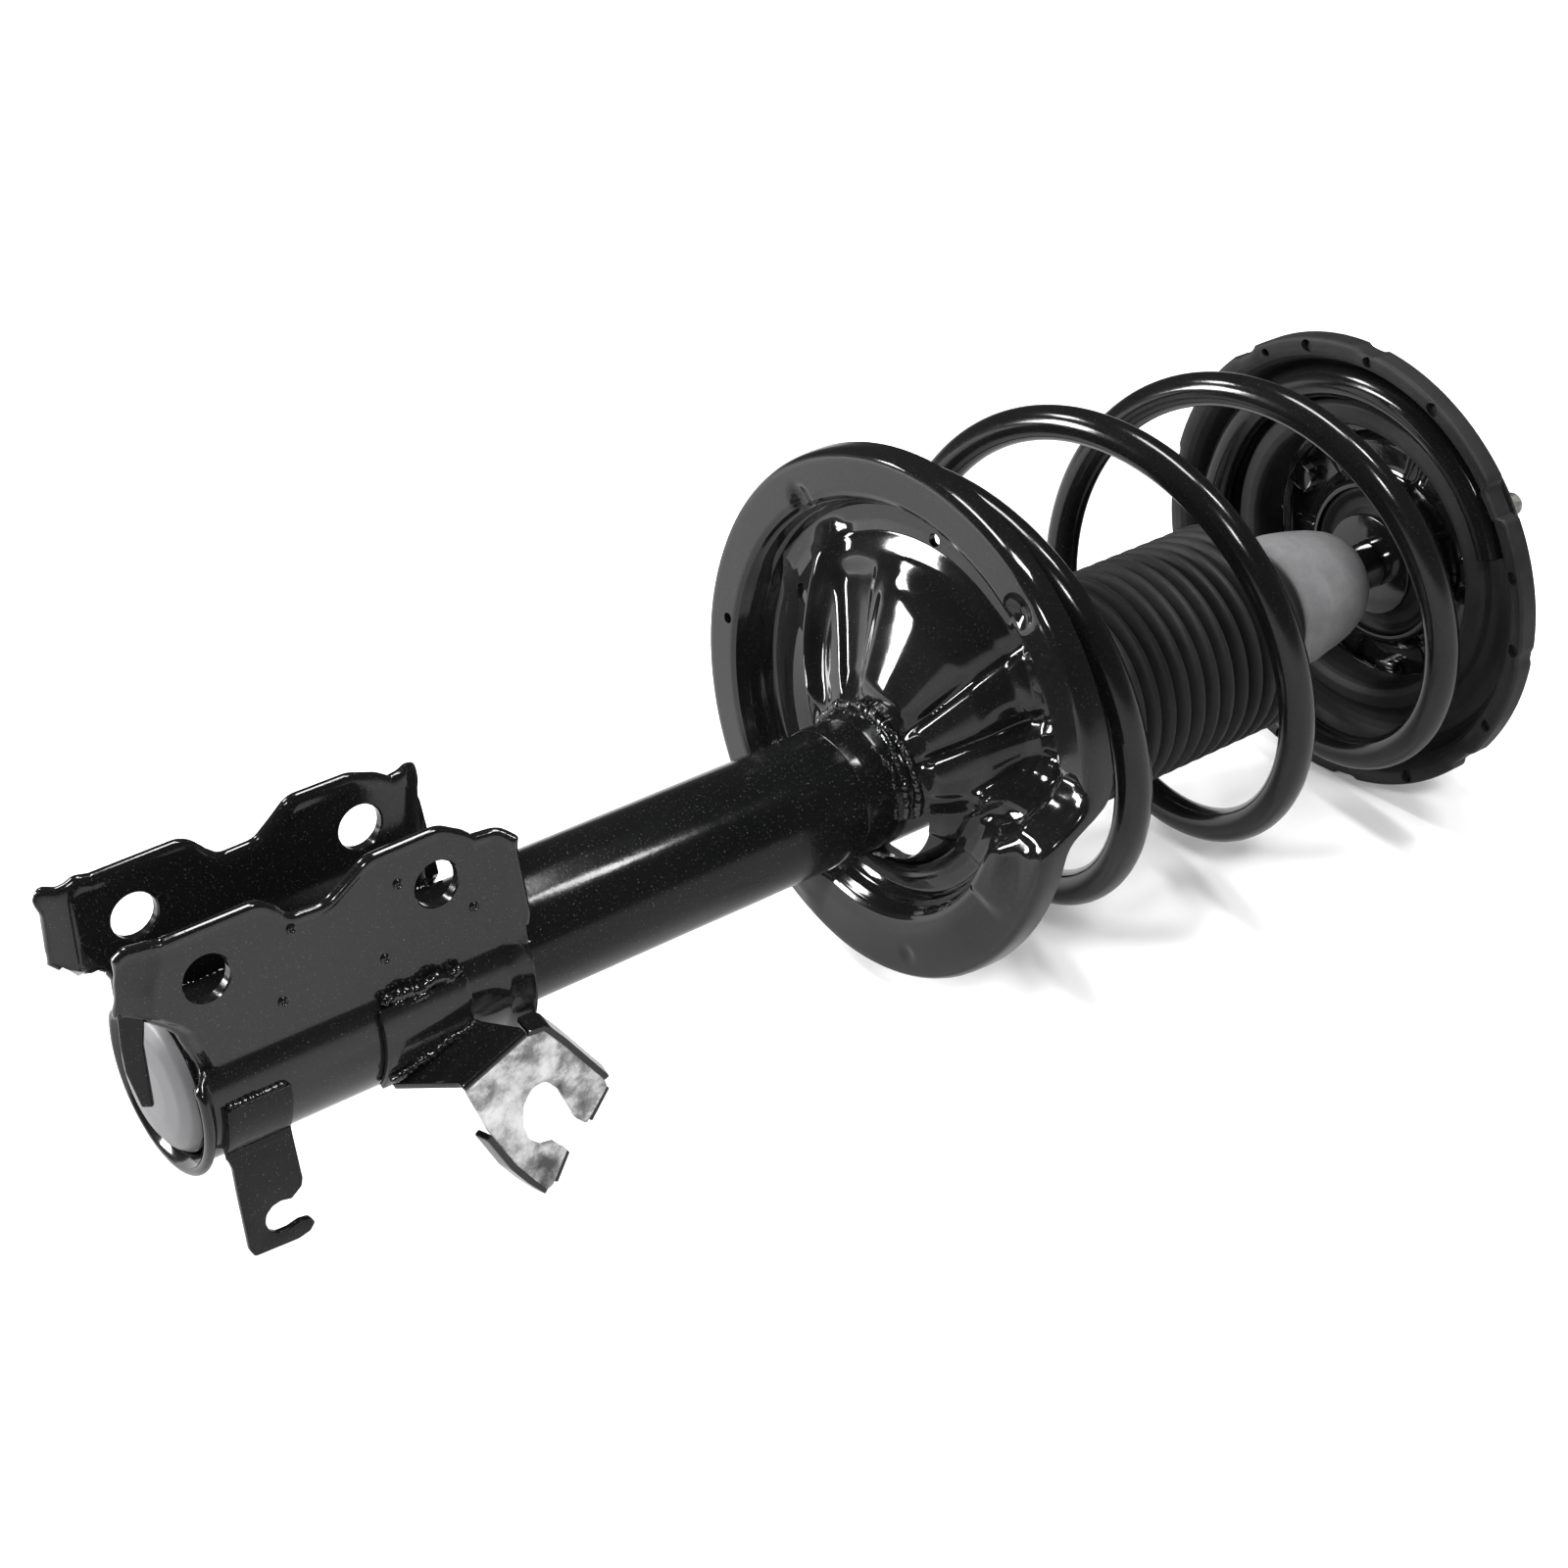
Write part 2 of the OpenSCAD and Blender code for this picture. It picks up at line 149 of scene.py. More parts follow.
def bumpn(nt, height, strength, distance, prev=None):
    b = nt.nodes.new("ShaderNodeBump")
    b.inputs["Strength"].default_value = strength
    b.inputs["Distance"].default_value = distance
    nt.links.new(height, b.inputs["Height"])
    if prev is not None:
        nt.links.new(prev, b.inputs["Normal"])
    return b.outputs["Normal"]


def paint(name, base=0.006, rough=(0.09, 0.2), peel=0.25, wave=0.25, speck=0.5, coat=0.35, spec=0.5):
    """Dipped black paint: orange peel, slow waves where it ran, dust specks, and thin spots."""
    m, nt, N, L, b = nodes_of(name)
    big = noise(nt, 22, 3)
    fine = noise(nt, 420, 3)
    dust = noise(nt, 1500, 1, 0.4)
    specks = ramp(nt, dust, [(0.0, 0.0), (0.69, 0.0), (0.735, 1.0)])
    col = mixc(nt, big, (base * 0.75,) * 3, (base * 1.35, base * 1.35, base * 1.42))
    col = mixc(nt, add(nt, specks, 0.055 * speck, "MULTIPLY"), col, (0.5, 0.5, 0.52))
    L.new(col, b.inputs["Base Color"])
    r = ramp(nt, noise(nt, 60, 5), [(0.3, rough[0]), (0.75, rough[1])])
    L.new(r, b.inputs["Roughness"])
    n = bumpn(nt, big, wave, 0.0012)
    n = bumpn(nt, fine, peel * 0.5, 0.00012, n)
    L.new(n, b.inputs["Normal"])
    b.inputs["Specular IOR Level"].default_value = spec
    b.inputs["Coat Weight"].default_value = coat
    b.inputs["Coat Roughness"].default_value = 0.05
    b.inputs["IOR"].default_value = 1.5
    return m


def rubber(name, base, rough=(0.5, 0.72), grain=900, grain_s=0.35, dusty=0.25, sheen=0.0, spec=0.35):
    m, nt, N, L, b = nodes_of(name)
    big = noise(nt, 35, 5, 0.6)
    fine = noise(nt, grain, 4, 0.6)
    dust = ramp(nt, noise(nt, 110, 6, 0.7), [(0.42, 0.0), (0.78, 1.0)])
    col = mixc(nt, big, tuple(c * 0.8 for c in base), tuple(min(1, c * 1.2) for c in base))
    col = mixc(nt, add(nt, dust, dusty, "MULTIPLY"), col, tuple(min(1, c * 2.2 + 0.012) for c in base))
    L.new(col, b.inputs["Base Color"])
    L.new(ramp(nt, big, [(0.3, rough[0]), (0.7, rough[1])]), b.inputs["Roughness"])
    n = bumpn(nt, fine, grain_s, 0.00025)
    n = bumpn(nt, big, 0.2, 0.0006, n)
    L.new(n, b.inputs["Normal"])
    b.inputs["Specular IOR Level"].default_value = spec
    if sheen:
        b.inputs["Sheen Weight"].default_value = sheen
        b.inputs["Sheen Roughness"].default_value = 0.5
    return m


def metal(name, base, rough=(0.22, 0.42), scratch=True, axis=0, bright=1.0):
    m, nt, N, L, b = nodes_of(name)
    vec = coord(nt)
    mp = nt.nodes.new("ShaderNodeMapping")
    L.new(vec, mp.inputs["Vector"])
    sc = [90, 90, 90]
    sc[axis] = 2500 if scratch else 90
    mp.inputs["Scale"].default_value = sc
    brush = noise(nt, 1.0, 3, 0.6, mp.outputs["Vector"])
    big = noise(nt, 45, 5)
    col = mixc(nt, big, tuple(c * 0.82 for c in base), tuple(min(1, c * 1.08) for c in base))
    L.new(col, b.inputs["Base Color"])
    b.inputs["Metallic"].default_value = 1.0
    L.new(ramp(nt, add(nt, brush, big, "MULTIPLY"), [(0.1, rough[0]), (0.45, rough[1])]), b.inputs["Roughness"])
    L.new(bumpn(nt, brush, 0.15, 0.00008), b.inputs["Normal"])
    return m


M = {}
M["bracket"] = paint("bracket_paint", 0.0055, (0.08, 0.16), peel=0.3, wave=0.20, speck=1.0, coat=0.0, spec=0.44)
# clip paint: a darker, lower-gloss copy of the black paint, painted shade so that the sensor clip and the bracket's
# tongue read black
M["clip"] = paint("clip_shaded_paint", 0.004, (0.08, 0.18), peel=0.5, wave=0.5, speck=1.2, coat=0.0, spec=0.2)
M["tube"] = paint("tube_paint", 0.0042, (0.10, 0.18), peel=0.5, wave=0.12, speck=1.2, coat=0.0, spec=0.22)
M["seat"] = paint("seat_paint", 0.005, (0.05, 0.13), peel=0.16, wave=0.28, speck=0.6, coat=0.0, spec=0.42)
M["wire"] = paint("spring_paint", 0.0045, (0.10, 0.2), peel=0.4, wave=0.10, speck=0.5, coat=0.0, spec=0.34)
M["weld"] = paint("weld_paint", 0.0045, (0.10, 0.24), peel=0.8, wave=0.5, speck=1.0, coat=0.0, spec=0.6)
M["cup"] = paint("cup_paint", 0.0045, (0.06, 0.17), peel=0.3, wave=0.35, speck=0.8, coat=0.0, spec=0.5)
M["disc"] = rubber("insulator_rubber", (0.0085, 0.0085, 0.0087), (0.45, 0.65), 1100, 0.28, 0.22, spec=0.28)
M["boot"] = rubber("boot_rubber", (0.0065, 0.0065, 0.0066), (0.5, 0.7), 1400, 0.2, 0.2, sheen=0.03, spec=0.26)
M["foam"] = rubber("foam_grey", (0.125, 0.125, 0.128), (0.62, 0.8), 1700, 0.5, 0.25, spec=0.25)
M["seal"] = rubber("seal_rubber", (0.01, 0.01, 0.01), (0.4, 0.6), 900, 0.2, 0.1)
M["mrub"] = rubber("mount_rubber", (0.006, 0.006, 0.006), (0.45, 0.7), 900, 0.25, 0.15, spec=0.2)
M["cap"] = paint("cap_grey", 0.085, (0.34, 0.5), peel=0.8, wave=0.3, speck=0.6, coat=0.0, spec=0.35)
M["zinc"] = metal("zinc_plate", (0.60, 0.59, 0.55), (0.28, 0.5))
M["steel"] = metal("steel", (0.50, 0.50, 0.51), (0.25, 0.45))
M["chrome"] = metal("rod_chrome", (0.5, 0.5, 0.52), (0.05, 0.14), axis=0)
M["sinter"] = metal("sintered", (0.30, 0.30, 0.31), (0.4, 0.6), scratch=False)
M["bronze"] = metal("bronze", (0.58, 0.42, 0.22), (0.3, 0.5))
M["band"] = rubber("band_ptfe", (0.05, 0.08, 0.065), (0.35, 0.5), 800, 0.1, 0.1)
M["nylon"] = rubber("cage_nylon", (0.52, 0.48, 0.37), (0.35, 0.5), 700, 0.15, 0.1)


# ---------------------------------------------------------------- mesh helpers

def mark_sharp(me, angle=38.0):
    bm = bmesh.new()
    bm.from_mesh(me)
    lim = D(angle)
    for f in bm.faces:
        f.smooth = True
    for e in bm.edges:
        e.smooth = not (len(e.link_faces) == 2 and e.calc_face_angle(0) > lim)
    bm.to_mesh(me)
    bm.free()


def mk(name, verts, faces, mat, body, slot, sharp=38.0, place=True):
    me = bpy.data.meshes.new(name)
    me.from_pydata([tuple(v) for v in (to_m(verts) if place else np.asarray(verts))], [], [tuple(int(i) for i in f) for f in faces])
    me.validate()
    bm = bmesh.new()
    bm.from_mesh(me)
    bmesh.ops.remove_doubles(bm, verts=bm.verts, dist=2e-6)
    bmesh.ops.recalc_face_normals(bm, faces=bm.faces)
    bm.to_mesh(me)
    bm.free()
    mark_sharp(me, sharp)
    o = bpy.data.objects.new(name, me)
    bpy.context.scene.collection.objects.link(o)
    me.materials.append(M[mat])
    o["body_"] = body
    o["slot_"] = slot
    o["sharp_"] = sharp
    return o


def bake(o):
    """applies the modifiers into the mesh"""
    bpy.context.view_layer.update()
    dg = bpy.context.evaluated_depsgraph_get()
    me = bpy.data.meshes.new_from_object(o.evaluated_get(dg))
    old = o.data
    o.modifiers.clear()
    o.data = me
    bpy.data.meshes.remove(old)
    mark_sharp(me, o["sharp_"])
    return o


def settle(o, *replaced):
    body, slot = o["body_"], o["slot_"]
    for k in ("body_", "slot_", "sharp_"):
        if k in o:
            del o[k]
    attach(o, body)
    if replaced:
        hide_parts(*replaced)
    return o


def bevel(o, width_mm, segments=3, angle=30):
    b = o.modifiers.new("bevel", "BEVEL")
    b.width = width_mm / 1000
    b.segments = segments
    b.limit_method = "ANGLE"
    b.angle_limit = D(angle)
    b.harden_normals = False
    b.miter_outer = "MITER_ARC"
    return o


def volume(me):
    bm = bmesh.new()
    bm.from_mesh(me)
    v = bm.calc_volume(signed=True)
    bm.free()
    return v


def cut(o, cutter):
    """cuts one mesh out of another, with whichever solver gives a sound result"""
    v0 = volume(o.data)
    for solver in ("MANIFOLD", "EXACT", "FAST"):
        md = o.modifiers.new("cut", "BOOLEAN")
        md.operation = "DIFFERENCE"
        try:
            md.solver = solver
        except TypeError:
            o.modifiers.remove(md)
            continue
        md.object = cutter
        bpy.context.view_layer.update()
        me = bpy.data.meshes.new_from_object(o.evaluated_get(bpy.context.evaluated_depsgraph_get()))
        v1 = volume(me)
        o.modifiers.remove(md)
        print("CUT", o.name, solver, round(v0 * 1e9), round(v1 * 1e9))
        if 0.6 * v0 < v1 < v0 * 0.9999:
            old = o.data
            o.data = me
            bpy.data.meshes.remove(old)
            mark_sharp(me, o["sharp_"])
            break
        bpy.data.meshes.remove(me)
    else:
        print("CUT FAILED", o.name)
    bpy.data.objects.remove(cutter)
    return o


def join(objs, name):
    """joins meshes into the first, keeping all their materials"""
    a = objs[0]
    bm = bmesh.new()
    mats = []
    for o in objs:
        start = len(bm.faces)
        idx = []
        for m in o.data.materials:
            if m not in mats:
                mats.append(m)
            idx.append(mats.index(m))
        bm.from_mesh(o.data)
        bm.faces.ensure_lookup_table()
        for f in bm.faces[start:]:
            f.material_index = idx[f.material_index] if f.material_index < len(idx) else 0
    me = bpy.data.meshes.new(name)
    bm.to_mesh(me)
    bm.free()
    for m in mats:
        me.materials.append(m)
    old = a.data
    a.data = me
    a.name = name
    for o in objs[1:]:
        bpy.data.objects.remove(o)
    return a


def grid_faces(n, m, wrap_i=False, wrap_j=True, base=0):
    f = []
    for i in range(n if wrap_i else n - 1):
        for j in range(m if wrap_j else m - 1):
            a = base + i * m + j
            b = base + i * m + (j + 1) % m
            c = base + ((i + 1) % n) * m + (j + 1) % m
            d = base + ((i + 1) % n) * m + j
            f.append((a, b, c, d))
    return f


def fillet(pts, radii, steps=5, closed=False):
    """rounds the corners of a 2D polyline; radii is one number or one per point"""
    pts = [np.array(p, float) for p in pts]
    n = len(pts)
    if isinstance(radii, (int, float)):
        radii = [radii] * n
    out = []
    for i in range(n):
        if not closed and i in (0, n - 1) or radii[i] <= 0:
            out.append(pts[i])
            continue
        p, a, b = pts[i], pts[i - 1], pts[(i + 1) % n]
        u, v = a - p, b - p
        lu, lv = np.linalg.norm(u), np.linalg.norm(v)
        u, v = u / lu, v / lv
        ang = math.acos(max(-1, min(1, float(u @ v))))
        if ang > math.pi - 0.02:
            out.append(p)
            continue
        d = min(radii[i] / math.tan(ang / 2), lu * 0.48, lv * 0.48)
        r = d * math.tan(ang / 2)
        c = p + (u + v) / np.linalg.norm(u + v) * (r / math.sin(ang / 2))
        s, e = p + u * d - c, p + v * d - c
        a0, a1 = math.atan2(s[1], s[0]), math.atan2(e[1], e[0])
        da = (a1 - a0 + math.pi) % (2 * math.pi) - math.pi
        for k in range(steps + 1):
            t = a0 + da * k / steps
            out.append(c + r * np.array([math.cos(t), math.sin(t)]))
    return np.array(out)


def revolve(name, prof, mat, body, slot, seg=160, centre=(0, 0), sharp=38.0, closed=True, wob=None):
    """profile of (r, x) in mm turned about an axis along X through centre"""
    prof = np.asarray(prof, float)
    m, n = len(prof), seg
    th = np.arange(n) * 2 * np.pi / n
    R = prof[None, :, 0] + (wob(th[:, None], prof[None, :, 1]) if wob else 0)
    X = np.broadcast_to(prof[None, :, 1], (n, m))
    v = np.stack([X, centre[0] + R * np.cos(th)[:, None], centre[1] + R * np.sin(th)[:, None]], -1).reshape(-1, 3)
    return mk(name, v, grid_faces(n, m, True, closed), mat, body, slot, sharp)


def tube_path(name, P, radius, mat, body, slot, sides=24, caps=True, dome=0.35, sharp=50):
    """tube along points P (mm) with its own radius at each"""
    P = np.asarray(P, float)
    n = len(P)
    R = np.broadcast_to(np.asarray(radius, float), (n,))
    T = np.gradient(P, axis=0)
    T /= np.linalg.norm(T, axis=1)[:, None]
    u = np.cross(T[0], [0.31, 0.77, 0.55])
    u /= np.linalg.norm(u)
    rings = []
    for i in range(n):
        u = u - (u @ T[i]) * T[i]
        u /= np.linalg.norm(u)
        w = np.cross(T[i], u)
        a = np.arange(sides) * 2 * np.pi / sides
        rings.append((P[i], T[i], u.copy(), w, R[i]))
    V, rows = [], 0
    a = np.arange(sides) * 2 * np.pi / sides

    def ring(c, u, w, r):
        V.extend(c + r * (np.cos(k) * u + np.sin(k) * w) for k in a)

    if caps:
        c, t, u, w, r = rings[0]
        for s in (0.0, 0.35, 0.7, 0.92):
            ring(c - t * r * dome * math.sqrt(1 - s * s), u, w, max(r * s, 1e-3))
            rows += 1
    for c, t, u, w, r in rings:
        ring(c, u, w, r)
        rows += 1
    if caps:
        c, t, u, w, r = rings[-1]
        for s in (0.92, 0.7, 0.35, 0.0):
            ring(c + t * r * dome * math.sqrt(1 - s * s), u, w, max(r * s, 1e-3))
            rows += 1
    return mk(name, V, grid_faces(rows, sides), mat, body, slot, sharp)


def cylinder(p0, p1, r, seg=40):
    """plain cutter between two points in mm"""
    p0, p1 = np.array(p0, float), np.array(p1, float)
    t = (p1 - p0) / np.linalg.norm(p1 - p0)
    u = np.cross(t, [0.3, 0.8, 0.5])
    u /= np.linalg.norm(u)
    w = np.cross(t, u)
    a = np.arange(seg) * 2 * np.pi / seg
    V = [c + r * (math.cos(k) * u + math.sin(k) * w) for c in (p0, p1) for k in a]
    F = [tuple(range(seg))[::-1], tuple(range(seg, 2 * seg))] + [(j, (j + 1) % seg, seg + (j + 1) % seg, seg + j) for j in range(seg)]
    return V, F


def cutter(parts):
    V, F = [], []
    for v, f in parts:
        k = len(V)
        V += list(v)
        F += [tuple(i + k for i in q) for q in f]
    return mk("cutter", V, F, "steel", "strut_tube", "steel")


def plate(name, outline, mat, body, slot, y0, y1, bev=0.6, holes=(), sharp=38.0, segs=3):
    """flat plate with an outline in (x, z) between two y values"""
    n = len(outline)
    V = [(p[0], y, p[1]) for y in (y0, y1) for p in outline]
    F = [tuple(range(n)), tuple(range(2 * n - 1, n - 1, -1))] + [(j, (j + 1) % n, n + (j + 1) % n, n + j) for j in range(n)]
    o = mk(name, V, F, mat, body, slot, sharp)
    if bev:
        bevel(o, bev, segs, 40)
        bake(o)
    return o


def solid_sheet(name, P, t, mat, body, slot, sharp=38.0, bev=0.5, side=1.0, normals=None, wrap_i=False, wrap_j=False):
    """grid of points P[i][j] thickened to t along its normals; side picks which way"""
    P = np.asarray(P, float)
    n, m = P.shape[:2]
    if normals is None:
        di = np.gradient(P, axis=0)
        dj = np.gradient(P, axis=1)
        if wrap_i:
            di = (np.roll(P, -1, 0) - np.roll(P, 1, 0)) / 2
        if wrap_j:
            dj = (np.roll(P, -1, 1) - np.roll(P, 1, 1)) / 2
        nn = np.cross(di, dj)
        nn /= np.maximum(np.linalg.norm(nn, axis=2), 1e-9)[..., None]
    else:
        nn = normals
    t = np.asarray(t, float)
    Q = P + nn * side * (t[..., None] if t.ndim else t)
    V = np.concatenate([P.reshape(-1, 3), Q.reshape(-1, 3)])
    k = n * m
    F = grid_faces(n, m, wrap_i, wrap_j) + [tuple(i + k for i in f)[::-1] for f in grid_faces(n, m, wrap_i, wrap_j)]
    if not wrap_j:
        for i in range(n if wrap_i else n - 1):
            a, b = i * m, ((i + 1) % n) * m
            F.append((a, b, b + k, a + k))
            a, b = a + m - 1, b + m - 1
            F.append((b, a, a + k, b + k))
    if not wrap_i:
        for j in range(m if wrap_j else m - 1):
            a, b = j, (j + 1) % m
            F.append((b, a, a + k, b + k))
            a, b = (n - 1) * m + j, (n - 1) * m + (j + 1) % m
            F.append((a, b, b + k, a + k))
    o = mk(name, V, F, mat, body, slot, sharp)
    if bev:
        bevel(o, bev, 2, 50)
        bake(o)
    return o


def round_sheet(name, P, t, mat, body, slot, side=1.0, sharp=35.0, bulge=1.3):
    """open grid thickened to t with fully rounded edges all round"""
    P = np.asarray(P, float)
    nn = np.cross(np.gradient(P, axis=0), np.gradient(P, axis=1))
    nn /= np.maximum(np.linalg.norm(nn, axis=2), 1e-9)[..., None]
    mid, half = P + nn * side * t / 2, -nn * side * t / 2

    def unit(v):
        return v / np.maximum(np.linalg.norm(v, axis=-1), 1e-9)[..., None]

    arc = np.linspace(0, np.pi, 8)[1:-1]
    t0, t1 = unit(mid[:, 0] - mid[:, 1]), unit(mid[:, -1] - mid[:, -2])
    Mi = [mid[:, j] for j in range(P.shape[1])]
    Hi = [half[:, j] for j in range(P.shape[1])]
    for a_ in arc:
        Mi.append(mid[:, -1] + t1 * bulge * math.sin(a_))
        Hi.append(half[:, -1] * math.cos(a_))
    for j in range(P.shape[1] - 1, -1, -1):
        Mi.append(mid[:, j])
        Hi.append(-half[:, j])
    for a_ in arc:
        Mi.append(mid[:, 0] + t0 * bulge * math.sin(a_))
        Hi.append(-half[:, 0] * math.cos(a_))
    Mi, Hi = np.stack(Mi, 1), np.stack(Hi, 1)
    e0, e1 = unit(Mi[0] - Mi[1]), unit(Mi[-1] - Mi[-2])
    rows = []
    for a_ in np.linspace(np.pi / 2, 0, 5)[:-1]:
        rows.append(Mi[0] + e0 * bulge * math.sin(a_) + Hi[0] * math.cos(a_))
    rows += list(Mi + Hi)
    for a_ in np.linspace(0, np.pi / 2, 5)[1:]:
        rows.append(Mi[-1] + e1 * bulge * math.sin(a_) + Hi[-1] * math.cos(a_))
    V = np.concatenate(rows)
    return mk(name, V, grid_faces(len(rows), Mi.shape[1]), mat, body, slot, sharp)


def bore_cut(x, z, r, faces, ch=0.55, y_end=60.0, seg=64):
    """cutter for a hole along Y whose mouth is chamfered at each given y"""
    st = [(-y_end, r)]
    for y0, out in faces:
        o_, i_ = (y0 - 0.05, y0 + ch) if out < 0 else (y0 + 0.05, y0 - ch)
        pair = [(o_, r + ch + 0.05), (i_, r)]
        st += sorted(pair)
    st.append((y_end, r))
    a_ = np.arange(seg) * 2 * np.pi / seg
    rings = []
    for k, (y, rr_) in enumerate(st):
        rings += [(x + rr_ * math.cos(q), y, z + rr_ * math.sin(q)) for q in a_]
    F = grid_faces(len(st), seg) + [tuple(range(seg))[::-1], tuple(range((len(st) - 1) * seg, len(st) * seg))]
    return rings, F


def bead(name, P, r, mat, body, slot, seed=1, pitch=2.2, rough=0.35, sides=14, flat=1.0):
    """weld bead: overlapping ripples with uneven width and spatter"""
    g = np.random.default_rng(seed)
    P = np.asarray(P, float)
    seg = np.linalg.norm(np.diff(P, axis=0), axis=1)
    s = np.concatenate([[0], np.cumsum(seg)])
    n = max(int(s[-1] / 0.45), 8)
    t = np.linspace(0, s[-1], n)
    Q = np.stack([np.interp(t, s, P[:, k]) for k in range(3)], -1)
    ph = np.cumsum(1 + 0.35 * g.standard_normal(n)) * (t[1] - t[0]) / pitch
    rad = r * (1 + 0.16 * np.abs(np.sin(np.pi * ph)) + 0.10 * np.convolve(g.standard_normal(n + 8), np.ones(9) / 3, "valid"))
    rad *= np.clip(np.minimum(t, s[-1] - t) / (1.2 * r) + 0.45, 0, 1)
    Q = Q + 0.25 * r * rough * np.stack([np.convolve(g.standard_normal(n + 12), np.ones(13) / 3.6, "valid") for _ in range(3)], -1)
    o = tube_path(name, Q, rad, mat, body, slot, sides, True, 0.8, 60)
    co = np.array([v.co for v in o.data.vertices])
    co += 0.00005 * rough * g.standard_normal(co.shape)
    o.data.vertices.foreach_set("co", co.astype(np.float32).ravel())
    return o


# ---------------------------------------------------------------- the damper tube and its end

def cad(node, mat):
    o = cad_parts[node]
    o.data.materials.clear()
    o.data.materials.append(M[mat])


tube = revolve("damper_tube", fillet([(25.5, -8), (25.5, 352), (22.5, 352), (22.5, -8)], 0.3, 3, True), "tube", "strut_tube", "gloss_black", 200,
               wob=lambda th, x: 0.06 * np.sin(2 * th + x * 0.01))
settle(tube, "outer_tube")
cap = revolve("tube_end_cap", fillet([(0.02, -15.0), (12, -14.5), (19, -13.3), (23.3, -11.0), (25.5, -8.02), (22.5, -8.02), (21, -10.4), (17.5, -12), (11, -13.2), (0.02, -13.7)], [0, 8, 6, 4, 0.3, 0.2, 2, 2, 2, 0], 6, True),
              "cap", "strut_tube", "cap_grey", 140, sharp=50)
settle(cap, "end_cap")

# ---------------------------------------------------------------- knuckle bracket

YP = 21.6
T = 4.0
near_top = fillet([(-25.2, 62.2), (-23.2, 64.8), (-17, 65.8), (-8, 66), (20.5, 66.3), (25.5, 62.2), (30.5, 56.6), (45.5, 55.8), (52.5, 60.6), (60.5, 66.4), (87, 67), (95, 62.2), (99, 58.6), (108.5, 57.6), (111.5, 55)], [0, 2, 4, 0, 9, 5, 9, 11, 6, 9, 9, 5, 3, 3, 0], 6)
far_top = fillet([(-28, 62.4), (-26.2, 65.4), (-22, 65.0), (-17, 67.4), (-12, 66.2), (21, 66.6), (27, 60), (32.5, 55.4), (47, 55.8), (54, 61.4), (60.5, 67), (83, 67), (92.5, 63.6), (98, 60), (105.5, 61), (107.5, 60)], [0, 2, 3, 3, 3, 8, 4, 9, 9, 6, 8, 9, 6, 3, 2, 0], 6)
near_l = [(15.6, -5.0), (20, -6.5), (25, -8.5), (31, -10.5), (35, -13.8), (38.5, -18), (41.5, -21.8), (43, -28.0), (55, -27.2), (62, -26.0), (70, -25.2)]
far_l = [(15.6, -9.2), (28, -9.4), (33, -12), (35.5, -17), (36.5, -24), (39, -27.2), (45, -28), (70, -28)]


def tab(z, rows):
    return np.interp(z, [r_[0] for r_ in rows], [r_[1] for r_ in rows])


def resample(line, n):
    line = np.asarray(line, float)
    s = np.concatenate([[0], np.cumsum(np.linalg.norm(np.diff(line, axis=0), axis=1))])
    t = np.linspace(0, s[-1], n)
    return np.stack([np.interp(t, s, line[:, k]) for k in range(line.shape[1])], -1)


def build_bracket():
    """U-shaped pressing: an ear each side and a wrap under the tube, as one grid of columns along x"""
    nc = 210
    topn, topf = resample(near_top, nc), resample(far_top, nc)
    u = np.linspace(0, 1, nc)
    nz, na = 44, 76
    cols = []
    for i in range(nc):
        col = []
        sn = (topn[i][0] + 25.2) / 136.7
        sf = (topf[i][0] + 28) / 135.5
        # near ear, from the top edge down to the bend at z = 15.6
        for k in range(nz):
            v = k / (nz - 1)
            z = topn[i][1] * (1 - v) + 15.6 * v
            xl = tab(z, near_l)
            x = xl + (111.5 * (1 - v) + 114 * v - xl) * (sn * (1 - v) + u[i] * v)
            y = -25.6
            # the free end leans inwards from a crisp bend line, and the cut edge below it is turned in
            xf = np.interp(z, [42, 45, 50, 57, 62, 67], [-20.5, -20, -19, -16, -14.5, -13.5])
            y += 6.2 * np.clip((xf - x) / (xf + 27.4), 0, 1) * smooth((z - 40.5) / 2)
            y += 2.4 * smooth(1 - (x - xl) / 4.5) * smooth((43 - z) / 2)
            # flange turned out at the right-hand end
            y -= 5.4 * np.clip((x - 106.2) / 7, 0, 1) ** 1.6
            col.append((x, y, z))
        # wrap round the tube
        for k in range(1, na - 1):
            a = k / (na - 1)
            phi = 148.6 + 242.8 * a
            xl = np.interp(phi, [148.6, 158, 382, 391.4], [-5.0, -9.5, -9.5, -9.2])
            x = xl + (114 - xl) * u[i]
            r = 30.0 + 4.6 * np.clip((x - 106.2) / 7, 0, 1) ** 1.6
            r += 3.2 * smooth((-5.8 - x) / 3.0) * smooth((phi - 150) / 14) * smooth((392 - phi) / 14)
            col.append((x, r * math.cos(D(phi)), r * math.sin(D(phi))))
        for k in range(nz - 1, -1, -1):
            v = k / (nz - 1)
            z = topf[i][1] * (1 - v) + 15.6 * v
            xl = tab(z, far_l)
            x = xl + (107.5 * (1 - v) + 114 * v - xl) * (sf * (1 - v) + u[i] * v)
            y = 25.6
            y += 4.4 * smooth((-19.5 - x) / 8.5) * smooth((z - 32) / 8)
            y += 3.2 * np.clip((x - 101) / 7, 0, 1) ** 1.6
            col.append((x, y, z))
        cols.append(col)
    P = np.array(cols)
    # the top edges roll slightly outward
    for d in range(4):
        P[:, d, 1] -= 0.7 * (1 - d / 3) ** 2
        P[:, -1 - d, 1] += 0.7 * (1 - d / 3) ** 2
    return round_sheet("knuckle_bracket_shell", P, T, "bracket", "strut_tube", "gloss_black", 1.0, 33, 1.5)


br = build_bracket()
faces = [(-25.6, -1), (-21.6, 1), (21.6, -1), (25.6, 1)]
cut(br, cutter([bore_cut(x, 48.5, 8.25, faces) for x in (0.0, 84.5)]))
